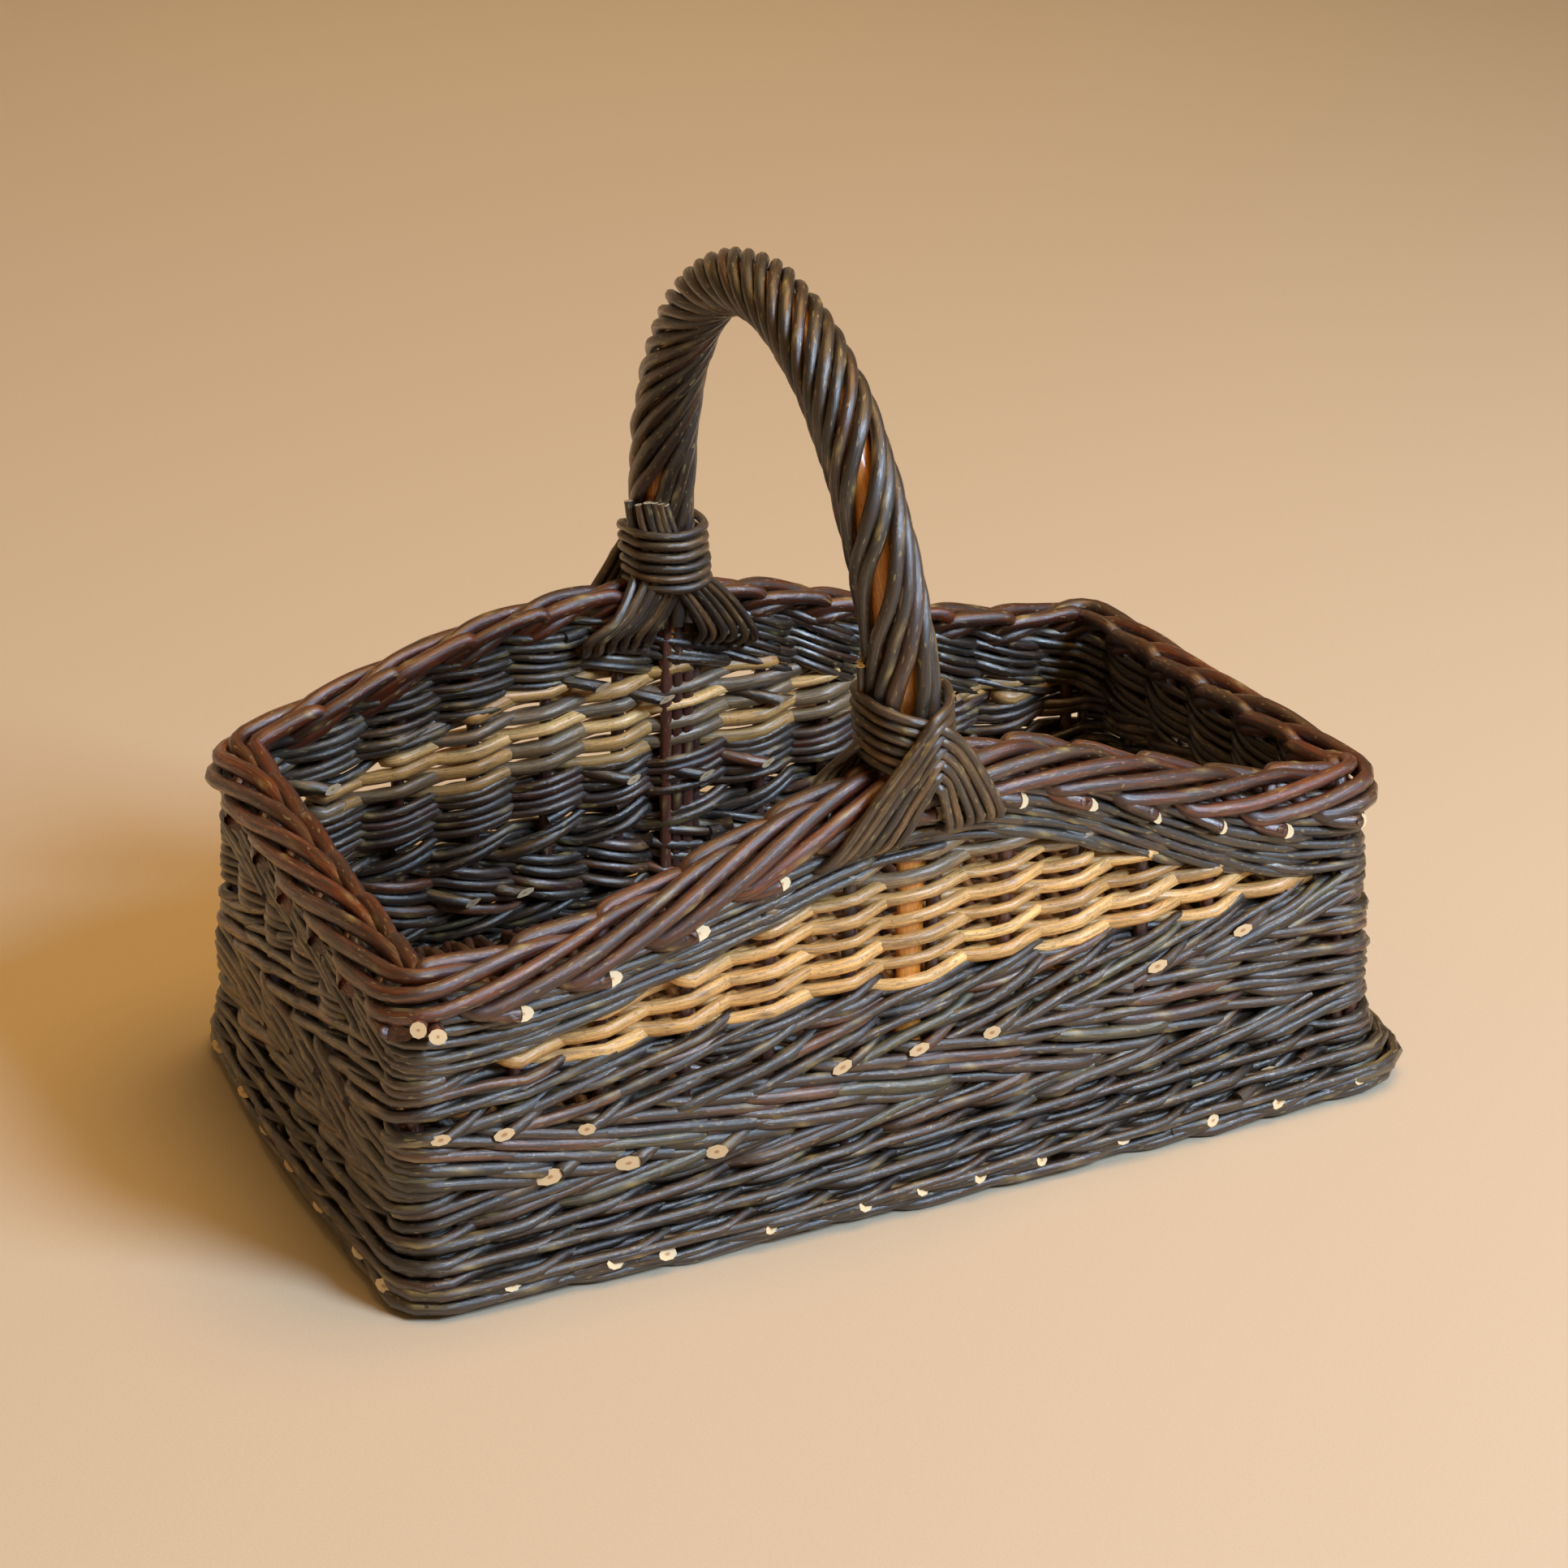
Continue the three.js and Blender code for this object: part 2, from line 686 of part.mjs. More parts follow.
// Upper wale and border, which follow the raised rim
const wale = band(
  allRound,
  (place) => packingTop(nominalX(place), place.alongY) + clearance,
  (place) => borderLow(nominalX(place), place.alongY) - clearance,
  true,
);
add(group, 'top_wale', cut(wale, [...stakeChannels, bowChannel, ...lashingSlots()]), darkBark, 0.5);

const borderProfile = [
  [0.5, 0.2],
  [0.5, 0.72],
  [0.22, 1],
  [-0.22, 1],
  [-0.5, 0.72],
  [-0.5, 0.2],
  [-0.3, 0],
  [0.3, 0],
];
const tightestCorner = 0.5;
const borderSections = allRound.map((place) => borderProfile.map(([across, up]) => {
  const offset = Math.max(across * borderWidth, tightestCorner - cornerRadius);
  return wallPoint(place, offset, borderLow(nominalX(place), place.alongY) + up * borderHeight);
}));
add(group, 'border', cut(loft(borderSections, true), [bowChannel]), redBark, 0.55);

// Stakes
for (const stake of stakes) {
  const mesh = add(group, stake.name, rodGeometry(stake.line, stake.diameter, 0), redBark, 0.6);
  mesh.position.copy(stake.line.low).lerp(stake.line.high, 0.5);
  mesh.quaternion.copy(rodTurn(stake.line));
}

// Handle
add(group, 'bow', bowGeometry, peeledWood, 0.5);
for (let i = 0; i < wrapRods; i += 1) {
  const points = wrapRodPoints(i);
  add(group, `handle_rod_${i + 1}`, tube(points, wrapDiameter), wrapBark, 0.5);
  console.log(`handle_rod_${i + 1}: least gap to itself ${leastGap(points, wrapDiameter).toFixed(2)} mm`);
}
for (const [name, sideY] of [['lashing_front', -1], ['lashing_back', 1]]) {
  const points = lashingPoints(sideY);
  add(group, name, tube(points, lashingDiameter), redBark, 0.55);
  console.log(`${name}: least gap to itself ${leastGap(points, lashingDiameter).toFixed(2)} mm`);
}

export default group;
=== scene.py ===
import math

import bpy
import numpy as np
from mathutils import Matrix


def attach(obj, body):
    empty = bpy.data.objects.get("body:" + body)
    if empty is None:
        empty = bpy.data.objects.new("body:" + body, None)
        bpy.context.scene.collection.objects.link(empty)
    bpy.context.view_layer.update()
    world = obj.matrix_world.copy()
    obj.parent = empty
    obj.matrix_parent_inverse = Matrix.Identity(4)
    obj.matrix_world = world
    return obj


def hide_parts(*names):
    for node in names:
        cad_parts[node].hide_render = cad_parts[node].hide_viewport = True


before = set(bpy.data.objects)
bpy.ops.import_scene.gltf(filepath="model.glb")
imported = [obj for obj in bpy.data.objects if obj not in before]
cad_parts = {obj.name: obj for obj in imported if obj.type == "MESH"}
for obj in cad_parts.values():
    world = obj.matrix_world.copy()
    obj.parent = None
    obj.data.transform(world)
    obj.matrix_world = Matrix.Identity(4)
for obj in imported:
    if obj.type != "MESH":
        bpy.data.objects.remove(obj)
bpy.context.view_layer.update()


# Base: five thick willow sticks run lengthwise, and red-brown rods are woven across them, close together.
# The rods' ends are hidden in the foot. The same rod-making tools serve every other part of the trug.

MM = 0.001
SCAR_HEIGHT, OVALNESS, LUMPINESS, CUT_UNEVENNESS = 0.45, 0.07, 0.035, 0.12
hand = np.random.default_rng(41)

# The woven wall is a rounded oblong, measured along the middle of its thickness
HALF_LENGTH = 219.5
WALL_SHIFT = -8.0
LEFT_END_SKEW = 0.045
CORNER_RADIUS = 10.0
HALF_WIDTH_AT_FOOT = 115.5
HALF_WIDTH_AT_RIM = 103.5
END_STAKE_REACH = 69.0
FOOT_HEIGHT = 32.0
RIM_HEIGHT = 145.0
FOOT_TWIST = math.radians(-3.4)
STRAIGHT_LONG = 2 * (HALF_LENGTH - CORNER_RADIUS)
STRAIGHT_SHORT = 2 * (HALF_WIDTH_AT_RIM - CORNER_RADIUS)
CORNER_ARC = math.pi / 2 * CORNER_RADIUS
GIRTH = np.cumsum([0, STRAIGHT_LONG, CORNER_ARC, STRAIGHT_SHORT, CORNER_ARC,
                   STRAIGHT_LONG, CORNER_ARC, STRAIGHT_SHORT, CORNER_ARC])
GIRTH_X = [-1, 1, 1, 1, 1, -1, -1, -1, -1]
GIRTH_Y = [-1, -1, -1, 1, 1, 1, 1, -1, -1]
GIRTH_TURN = np.radians([-90, -90, 0, 0, 90, 90, 180, 180, 270])


def half_width(z):
    share = np.clip((z - FOOT_HEIGHT) / (RIM_HEIGHT - FOOT_HEIGHT), 0, 1)
    return HALF_WIDTH_AT_FOOT + (HALF_WIDTH_AT_RIM - HALF_WIDTH_AT_FOOT) * share


def turned(x, y, z):
    """The foot is turned against the rim, and the left end gets askew on the way up."""
    share = np.clip((z - FOOT_HEIGHT) / (RIM_HEIGHT - FOOT_HEIGHT), 0, 1)
    near_left = np.clip((WALL_SHIFT + HALF_LENGTH - x) / (2 * HALF_LENGTH), 0, 1) ** 4
    x = x + LEFT_END_SKEW * y * share * near_left
    angle = FOOT_TWIST * (1 - share)
    x, y = x * np.cos(angle) - y * np.sin(angle), x * np.sin(angle) + y * np.cos(angle)
    return np.stack([x, y, z + 0 * x], -1)


def on_wall(girth, out, z):
    """Points on the wall: girth runs anticlockwise from the front left corner, and out is outwards."""
    place = np.mod(girth, GIRTH[-1])
    along = np.interp(place, GIRTH, GIRTH_X)
    across = np.interp(place, GIRTH, GIRTH_Y) * STRAIGHT_SHORT / 2
    turn = np.interp(place, GIRTH, GIRTH_TURN)
    inner = np.clip(across, -END_STAKE_REACH, END_STAKE_REACH)
    stretch = (half_width(z) - CORNER_RADIUS - END_STAKE_REACH) / (STRAIGHT_SHORT / 2 - END_STAKE_REACH)
    x = WALL_SHIFT + along * STRAIGHT_LONG / 2 + (CORNER_RADIUS + out) * np.cos(turn)
    y = inner + (across - inner) * stretch + (CORNER_RADIUS + out) * np.sin(turn)
    return turned(x, y, z)


def outward(girth):
    """The way a cut looks on the outside of the wall: outwards and a little up."""
    way = on_wall(girth, 1.0, 100.0) - on_wall(girth, 0.0, 100.0) + np.array([0, 0, 0.45])
    return way / np.linalg.norm(way)


def front_girth(x):
    return x - WALL_SHIFT + STRAIGHT_LONG / 2


def back_girth(x):
    return GIRTH[4] + STRAIGHT_LONG / 2 - (x - WALL_SHIFT)


def linear(code):
    """sRGB hex to linear colour."""
    values = [int(code[i:i + 2], 16) / 255 for i in (1, 3, 5)]
    return [v / 12.92 if v <= 0.04045 else ((v + 0.055) / 1.055) ** 2.4 for v in values]


def wander(count, every, much):
    """A slow random drift, as a hand-laid rod has: one number for each point of the rod."""
    knots = max(int(count / every) + 3, 4)
    return much * np.interp(np.linspace(0, knots - 1, count), np.arange(knots), hand.normal(0, 1, knots))


def rod(path, thick, tint, cut=(False, False), slant=(0.0, 0.0), wide=1.0, deep=1.0, face=(0, 0, 1.0)):
    """One willow rod: its line in millimetres, its thickness from butt to tip, and the colour of its bark.
    A flattened rod is wide one way and less deep the other way. A slanted cut looks in its face direction."""
    path = np.asarray(path, float)
    thick = np.atleast_1d(thick)
    thick = np.interp(np.linspace(0, 1, len(path)), np.linspace(0, 1, len(thick)), thick)
    level = np.zeros(len(path))
    return {"path": path, "radius": thick / 2, "tint": np.asarray(linear(tint)), "cut": cut, "slant": slant,
            "wide": wide + level, "deep": deep + level, "face": np.asarray(face, float)}


def carried(paths):
    """Directions along and across each rod, carried along it without twist."""
    along = np.gradient(paths, axis=1)
    along /= np.linalg.norm(along, axis=2, keepdims=True) + 1e-12
    start = np.where(np.abs(along[:, :1, 2:]) > 0.9, [[[1.0, 0.0, 0.0]]], [[[0.0, 0.0, 1.0]]])
    across = np.zeros_like(paths)
    last = start[:, 0]
    for i in range(paths.shape[1]):
        last = last - np.sum(last * along[:, i], 1, keepdims=True) * along[:, i]
        last /= np.linalg.norm(last, axis=1, keepdims=True) + 1e-12
        across[:, i] = last
    return along, across, np.cross(along, across)


def swellings(count, angle, travelled, scars):
    """How thick a rod is round each point against its even thickness, and how strong a leaf scar is there."""
    oval = OVALNESS * np.cos(2 * (angle[None] + wander(count, 14, 1.0)[:, None]))
    shape = 1 + oval + wander(count, 6, LUMPINESS)[:, None]
    scar = np.zeros((count, len(angle)))
    at = hand.uniform(4, scars)
    while at < travelled[-1] - 3:
        ring, place = int(np.argmin(np.abs(travelled - at))), hand.integers(len(angle))
        scar[ring, place] = hand.uniform(0.5, 1.0)
        for near in (ring - 1, ring + 1):
            if 0 <= near < count:
                scar[near, place] = max(scar[near, place], 0.25)
        shape[ring] += 0.03
        at += hand.uniform(0.5, 1.5) * scars
    return shape, scar


def skin(r, forward, side, above, angle, scars):
    """The rings of points round one rod, with each point's place on the bark, colour and leaf scar."""
    path, count = r["path"], len(r["path"])
    travelled = np.concatenate([[0], np.cumsum(np.linalg.norm(np.diff(path, axis=0), axis=1))])
    shape, scar = swellings(count, angle, travelled, scars)
    radius = r["radius"][:, None] * shape + SCAR_HEIGHT * scar
    across, over = radius * np.cos(angle), radius * np.sin(angle)
    wide, deep = across * r["wide"][:, None], over * r["deep"][:, None]
    rings = path[:, None] + wide[..., None] * side[:, None] + deep[..., None] * above[:, None]
    for end, where in ((0, 0), (1, count - 1)):
        reach = (rings[where] - path[where]) @ (r["face"] + hand.normal(0, CUT_UNEVENNESS, 3))
        slope = (1 - 2 * end) * math.tan(r["slant"][end])
        rings[where] += (slope * reach)[:, None] * forward[where]
    start = hand.uniform(0, 40)
    places = np.stack([np.repeat(travelled[:, None] + start * 1000, len(angle), 1), across, over], -1)
    shades = (1 + wander(count, 25, 0.10))[:, None]
    tint = np.repeat((r["tint"][None] * shades)[:, None], len(angle), 1)
    return rings, places, tint, scar


def shown(name, made_of):
    made = bpy.data.objects.new(name, made_of)
    bpy.context.scene.collection.objects.link(made)
    return made


def meshed(name, points, quads, fans, marks):
    """A mesh of four-sided and three-sided faces, with marks on its points that its bark material reads."""
    mesh = bpy.data.meshes.new(name)
    mesh.vertices.add(len(points))
    mesh.vertices.foreach_set("co", points.ravel())
    mesh.loops.add(quads.size + fans.size)
    corners = np.concatenate([quads.ravel(), fans.ravel()])
    mesh.loops.foreach_set("vertex_index", corners.astype(np.int32))
    mesh.polygons.add(len(quads) + len(fans))
    starts = np.concatenate([np.arange(len(quads)) * 4, quads.size + np.arange(len(fans)) * 3])
    mesh.polygons.foreach_set("loop_start", starts.astype(np.int32))
    mesh.polygons.foreach_set("use_smooth", np.ones(len(quads) + len(fans), bool))
    mesh.update(calc_edges=True)
    for mark, kind, field, values in marks:
        mesh.attributes.new(mark, kind, "POINT").data.foreach_set(field, values.ravel())
    return shown(name, mesh)


def bundle(name, rods, sides=8, scars=30.0):
    """One mesh from many rods, each closed by its two cut ends. Scars is how far apart its leaf scars lie."""
    longest = max(len(r["path"]) for r in rods)
    paths = np.zeros((len(rods), longest, 3))
    for i, r in enumerate(rods):
        count = len(r["path"])
        paths[i, :count] = r["path"]
        step = r["path"][-1] - r["path"][-2]
        paths[i, count:] = r["path"][-1] + step * np.arange(1, longest - count + 1)[:, None]
    along, across, above = carried(paths)
    angle = 2 * np.pi * np.arange(sides) / sides
    this, after = np.arange(sides), (np.arange(sides) + 1) % sides
    points, places, tints, cuts, marks, quads, fans, base = [], [], [], [], [], [], [], 0
    for i, r in enumerate(rods):
        count = len(r["path"])
        rings, ring_places, tint, scar = skin(r, along[i, :count], across[i, :count], above[i, :count],
                                              angle, scars)
        points.append(rings.reshape(-1, 3))
        places.append(ring_places.reshape(-1, 3))
        tints.append(tint.reshape(-1, 3))
        cuts.append(np.zeros(count * sides))
        marks.append(scar.reshape(-1))
        ring = base + np.arange(count - 1)[:, None] * sides
        corners = [ring + this, ring + after, ring + sides + after, ring + sides + this]
        quads.append(np.stack(corners, -1).reshape(-1, 4))
        base += count * sides
        for end, where in ((0, 0), (1, count - 1)):
            points.append(np.vstack([rings[where], rings[where].mean(0, keepdims=True)]))
            places.append(np.vstack([ring_places[where], [[ring_places[where, 0, 0], 0, 0]]]))
            tints.append(np.repeat(tint[where, :1], sides + 1, 0))
            cuts.append(np.full(sides + 1, 1.0 if r["cut"][end] else 0.0))
            marks.append(np.zeros(sides + 1))
            fan = np.stack([base + this, base + after, np.full(sides, base + sides)], -1)
            fans.append(fan[:, ::-1] if end == 0 else fan)
            base += sides + 1
    points = np.vstack(points) * MM
    colours = np.hstack([np.clip(np.vstack(tints), 0, 1), np.ones((len(points), 1))])
    return meshed(name, points, np.vstack(quads), np.vstack(fans), [
        ("rod_place", "FLOAT_VECTOR", "vector", np.vstack(places) * MM),
        ("rod_tint", "FLOAT_COLOR", "color", colours),
        ("rod_cut", "FLOAT", "value", np.concatenate(cuts)),
        ("rod_scar", "FLOAT", "value", np.concatenate(marks))])


def node(tree, kind, settings=None, **links):
    """Add a shader node with its settings, and link or set its inputs by name (_0 is the first one)."""
    made = tree.nodes.new("ShaderNode" + kind)
    for key, value in (settings or {}).items():
        setattr(made, key, value)
    for key, value in links.items():
        socket = made.inputs[int(key[1:])] if key[1:].isdigit() else made.inputs[key.replace("_", " ")]
        if isinstance(value, bpy.types.NodeSocket):
            tree.links.new(value, socket)
        else:
            socket.default_value = value
    return made


def blank_material(name):
    material = bpy.data.materials.new(name)
    material.use_nodes = True
    material.node_tree.nodes.clear()
    return material, material.node_tree


BARK_RELIEF, PITH_INNER, PITH_OUTER = 0.22, 0.4, 0.9
WAX_WEIGHT, WAX_ROUGHNESS = 0.6, 0.24


def willow(name, streak, bloom_and_highlight, bloom_and_highlight_share, gloss, bark_depth, scar_colour="#a08c56"):
    """Willow bark: ribs about 1.2 mm wide and 20 mm long run along the rod, light and dark. Pale streaks lie
    on the ribs in patches, partly a waxy bloom and partly a painted highlight, and leaf scars and small
    lenticels are paler. Under a thin wax coat the ribs are glossier than the hollows between them. A cut end
    is dull cream wood with a brown pith."""
    material, tree = blank_material(name)
    place, tint, cut, scar = [node(tree, "Attribute", {"attribute_name": mark}).outputs[output]
                              for mark, output in (("rod_place", "Vector"), ("rod_tint", "Color"),
                                                   ("rod_cut", "Fac"), ("rod_scar", "Fac"))]

    def scaled(scales):
        return node(tree, "VectorMath", {"operation": "MULTIPLY"}, _0=place, _1=scales).outputs[0]

    def pattern(along, across, detail, coarse):
        """A noise that repeats so often in each millimetre along the rod and across it."""
        where = scaled((along / MM, across / MM, across / MM))
        noise = node(tree, "TexNoise", None, Vector=where, Scale=1.0, Detail=detail, Roughness=coarse)
        return noise.outputs["Fac"]

    def between(value, low, high, least, most):
        return node(tree, "MapRange", None, Value=value, From_Min=low, From_Max=high, To_Min=least,
                    To_Max=most).outputs[0]

    def mixed(share, under, over):
        over = over if isinstance(over, bpy.types.NodeSocket) else (*linear(over), 1)
        return node(tree, "Mix", {"data_type": "RGBA"}, Factor=share, A=under, B=over).outputs["Result"]

    ribs = pattern(0.05, 0.85, 6.0, 0.85)
    patch = pattern(0.038, 0.3, 3.0, 0.6)
    fleck = pattern(0.65, 1.3, 2.0, 0.5)
    lenticel = pattern(0.26, 0.9, 0.0, 0.5)
    shade = between(ribs, 0.43, 0.6, 1.0 - 1.15 * streak, 1.0 + 1.1 * streak)
    bark = node(tree, "Mix", {"data_type": "RGBA", "blend_type": "MULTIPLY"}, Factor=1.0, A=tint)
    tree.links.new(shade, bark.inputs["B"])
    # Pale streaks in patches on the ribs: partly a real waxy bloom, partly a painted highlight
    in_patch, on_ribs = between(patch, 0.42, 0.68, 0.0, bloom_and_highlight_share), between(ribs, 0.49, 0.57, 0.0, 1.0)
    share = node(tree, "Math", {"operation": "MULTIPLY"}, _0=in_patch, _1=on_ribs).outputs[0]
    waxed_and_highlit = mixed(share, bark.outputs["Result"], bloom_and_highlight)
    spotted = mixed(between(fleck, 0.62, 0.7, 0.0, 0.5), waxed_and_highlit, "#140d09")
    dotted = mixed(between(lenticel, 0.73, 0.77, 0.0, 0.55), spotted, scar_colour)
    scarred = mixed(scar, dotted, scar_colour)
    middle = node(tree, "VectorMath", {"operation": "LENGTH"}, _0=scaled((0, 1, 1)))
    pith = between(middle.outputs["Value"], PITH_INNER * MM, PITH_OUTER * MM, 0.0, 1.0)
    whole = mixed(cut, scarred, mixed(pith, (*linear("#cf9c62"), 1), "#fbe0b0"))
    rough = between(ribs, 0.44, 0.57, gloss + 0.3, gloss - 0.08)
    dull = node(tree, "Mix", None, Factor=cut, A=rough, B=0.75).outputs["Result"]
    relief = node(tree, "Math", {"operation": "MULTIPLY_ADD"}, _0=fleck, _1=0.35, _2=ribs)
    bump = node(tree, "Bump", None, Strength=bark_depth, Distance=BARK_RELIEF * MM,
                Height=relief.outputs[0]).outputs[0]
    shader = node(tree, "BsdfPrincipled", None, Base_Color=whole, Roughness=dull, Normal=bump,
                  Specular_IOR_Level=1.0, Coat_Weight=WAX_WEIGHT, Coat_Roughness=WAX_ROUGHNESS,
                  Coat_Normal=bump)
    node(tree, "OutputMaterial", None, Surface=shader.outputs[0])
    return material


def finish(piece, material, slot, *nodes):
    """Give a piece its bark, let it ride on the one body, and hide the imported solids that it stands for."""
    piece.data.materials.append(material)
    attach(piece, "root")
    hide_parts(*nodes)


BASE_STICKS, BASE_STICK_PITCH, BASE_STICK_HEIGHT, BASE_STICK_REACH = 5, 42.8, 33.0, 203.0
BASE_STICK_BUTT, BASE_STICK_TIP = 8.4, 7.6
BASE_ROD_PITCH, BASE_ROD_SPREAD, BASE_ROD_REACH, BASE_ROD_RISE = 5.3, 208.0, 108.0, 5.2
base_barks = ["#5a341a", "#4d2a14", "#663f1f", "#422614", "#724c23", "#50301a"]

sticks = []
for i in range(BASE_STICKS):
    y = (i - (BASE_STICKS - 1) / 2) * BASE_STICK_PITCH
    x = WALL_SHIFT + np.linspace(-BASE_STICK_REACH, BASE_STICK_REACH, 90)
    line = turned(x, y + wander(90, 20, 0.6), BASE_STICK_HEIGHT + wander(90, 20, 0.4))
    sticks.append(rod(line, (BASE_STICK_BUTT, BASE_STICK_TIP), base_barks[i % 3], (True, True)))
base_sticks = bundle("base_sticks", sticks, 10, 45)

weavers = []
for i in range(int(2 * BASE_ROD_SPREAD / BASE_ROD_PITCH) + 1):
    x = WALL_SHIFT - BASE_ROD_SPREAD + i * BASE_ROD_PITCH + hand.normal(0, 0.4)
    y = np.linspace(-BASE_ROD_REACH, BASE_ROD_REACH, 74)
    way = 1 if i % 2 else -1
    wave = BASE_ROD_RISE * way * np.cos(np.pi * y / BASE_STICK_PITCH)
    z = BASE_STICK_HEIGHT + wave * np.where(np.abs(y) < 100, 1, 0.4)
    line = turned(x + wander(74, 14, 0.7) + hand.normal(0, 2.0) * y / BASE_ROD_REACH, y, z)
    thick = hand.uniform(5.4, 6.6) * np.array([1.0, 0.88])
    weavers.append(rod(line, thick, base_barks[hand.integers(6)]))
base_rods = bundle("base_rods", weavers, 8, 40)

# Red-brown bark, boiled and dried: duller than the dark rods, with faint streaks
base_bark = willow("boiled_red_brown_bark", 0.4, "#8a6a4c", 0.2, 0.46, 0.5)
finish(base_sticks, base_bark, "base_willow", *[f"base_stick_{i + 1}" for i in range(BASE_STICKS)])
finish(base_rods, base_bark, "base_willow", "base_weave")


# Side stakes: strong upright rods pushed into the base, twelve on each long side, five on each end and a
# thicker one at each corner. They carry all the weave, and above the weave they are bent into the border.
# Three more rods lie flat over the bow inside the back wall, as a dark upright strip.

STAKE, CORNER_STAKE, STAKE_FOOT = 6.4, 7.5, 8.0
STAKE_PITCH_LEFT, STAKE_PITCH_RIGHT, STAKE_BEFORE_BOW, STAKE_AFTER_BOW = 35.9, 33.75, -41.9, -3.0
BORDER_UNDERSIDE, RIM_RISE, RIM_REACH, RIM_SHOULDER = 123.0, 46.0, 211.5, 1.2
BACK_UNDERSIDE, BACK_RISE, BACK_REACH, BACK_PEAK = 128.0, 50.0, 260.0, -50.0
BOW_X = -14.0
STRIP_PITCH, STRIP_INSIDE, STRIP_LOW, STRIP_HIGH, STRIP_FLATNESS = 5.4, 4.9, 30.0, 176.0, 0.5
stake_barks = ["#532717", "#482216", "#602f1c", "#41241c"]
front_stakes = [STAKE_BEFORE_BOW - (4 - i) * STAKE_PITCH_LEFT for i in range(5)]
front_stakes += [STAKE_AFTER_BOW + i * STAKE_PITCH_RIGHT for i in range(7)]
end_stakes = [(i - 2) * END_STAKE_REACH / 2 for i in range(5)]


def along_x(girth):
    place = np.mod(girth, GIRTH[-1])
    return (WALL_SHIFT + np.interp(place, GIRTH, GIRTH_X) * STRAIGHT_LONG / 2
            + CORNER_RADIUS * np.cos(np.interp(place, GIRTH, GIRTH_TURN)))


def by_side(front, back, girth):
    """A height that goes over from its value in front to its value at the back along the two ends."""
    share = (np.interp(np.mod(girth, GIRTH[-1]), GIRTH, GIRTH_Y) + 1) / 2
    return front + (back - front) * share


def hill(distance, reach):
    """A smooth rise, from 0 at the reach to 1 in the middle."""
    return (1 + np.cos(np.pi * np.clip(distance / reach, -1, 1))) / 2


def border_low(girth):
    """Underside of the border: it rises in the middle of the front, and higher and further left behind."""
    x = along_x(girth)
    front = BORDER_UNDERSIDE + RIM_RISE * hill(x, RIM_REACH) ** RIM_SHOULDER
    return by_side(front, BACK_UNDERSIDE + BACK_RISE * hill(x - BACK_PEAK, BACK_REACH), girth)


# Girth of each stake, anticlockwise from the front left corner
stake_girths = {"corner_stake_1": GIRTH[-1] - CORNER_ARC / 2, "corner_stake_2": GIRTH[1] + CORNER_ARC / 2,
                "corner_stake_3": GIRTH[3] + CORNER_ARC / 2, "corner_stake_4": GIRTH[5] + CORNER_ARC / 2}
for i, x in enumerate(front_stakes):
    stake_girths[f"front_stake_{i + 1}"] = front_girth(x)
    stake_girths[f"back_stake_{i + 1}"] = back_girth(x)
for i, y in enumerate(end_stakes):
    stake_girths[f"right_stake_{i + 1}"] = GIRTH[2] + STRAIGHT_SHORT / 2 + y
    stake_girths[f"left_stake_{i + 1}"] = GIRTH[6] + STRAIGHT_SHORT / 2 - y

uprights = []
for name, girth in stake_girths.items():
    top = border_low(girth) + 4
    z = np.linspace(STAKE_FOOT, top, 48)
    thick = CORNER_STAKE if name.startswith("corner") else STAKE
    line = on_wall(np.full(48, girth), wander(48, 16, 0.25), z)
    uprights.append(rod(line, (thick, thick - 0.5), stake_barks[hand.integers(4)], (True, False)))
for shift in (-STRIP_PITCH, 0.0, STRIP_PITCH):
    z = np.linspace(STRIP_LOW, STRIP_HIGH, 48)
    line = on_wall(back_girth(BOW_X + shift) + 0 * z, -STRIP_INSIDE + wander(48, 16, 0.15), z)
    uprights.append(rod(line, (5.6, 5.2), stake_barks[hand.integers(4)], deep=STRIP_FLATNESS))
stakes = bundle("side_stakes", uprights, 8, 38)

# Red-brown bark, smooth and thin, with a low sheen
stake_bark = willow("smooth_red_brown_bark", 0.35, "#8f6a55", 0.15, 0.38, 0.45)
finish(stakes, stake_bark, "red_willow", *stake_girths)


# Foot: heavy dark rods waled three at a time round the bottom, which stand out so that the trug is stable.
# At the very bottom the foot border leaves a row of cut tips all the way round.

FLARE_AT_ENDS, FLARE_TO_RIGHT, FLARE_AT_SIDES, FLARE_BULGE = 12.0, 7.5, 11.5, 4.5
OFF_THE_FLOOR, WALE_START = 0.58, 31.5

# Working places round the wall: the two stakes at each right corner, and the bow with its stake, work as one
stops = [(-CORNER_ARC / 2, 0)]
stops += [(front_girth(front_stakes[i]), i + 1) for i in range(5)]
stops += [(front_girth(-19.0), 5.78), (front_girth(-1.0), 6.14)]
stops += [(front_girth(front_stakes[i]), i + 1) for i in range(6, 11)]
stops += [(front_girth(199.0), 11.86), (GIRTH[1] + 9.0, 12.14)]
stops += [(GIRTH[2] + STRAIGHT_SHORT / 2 + y, 13 + i) for i, y in enumerate(end_stakes)]
stops += [(GIRTH[4] - 12.0, 17.86), (GIRTH[4] + 2.6, 18.14)]
stops += [(back_girth(front_stakes[10 - i]), 19 + i) for i in range(5)]
stops += [(back_girth(-1.0), 23.86), (back_girth(-19.0), 24.22)]
stops += [(back_girth(front_stakes[4 - i]), 25 + i) for i in range(5)]
stops += [(GIRTH[5] + CORNER_ARC / 2, 30)]
stops += [(GIRTH[6] + STRAIGHT_SHORT / 2 - y, 31 + i) for i, y in enumerate(end_stakes[::-1])]
STOPS, STROKE, POINTS_PER_STOP = 36, 3, 9
stop_girth, stop_number = np.array(stops).T
stop_girth = np.concatenate([stop_girth + times * GIRTH[-1] for times in (-1, 0, 1, 2)])
stop_number = np.concatenate([stop_number + times * STOPS for times in (-1, 0, 1, 2)])


def at_stop(number):
    return np.interp(number, stop_number, stop_girth)


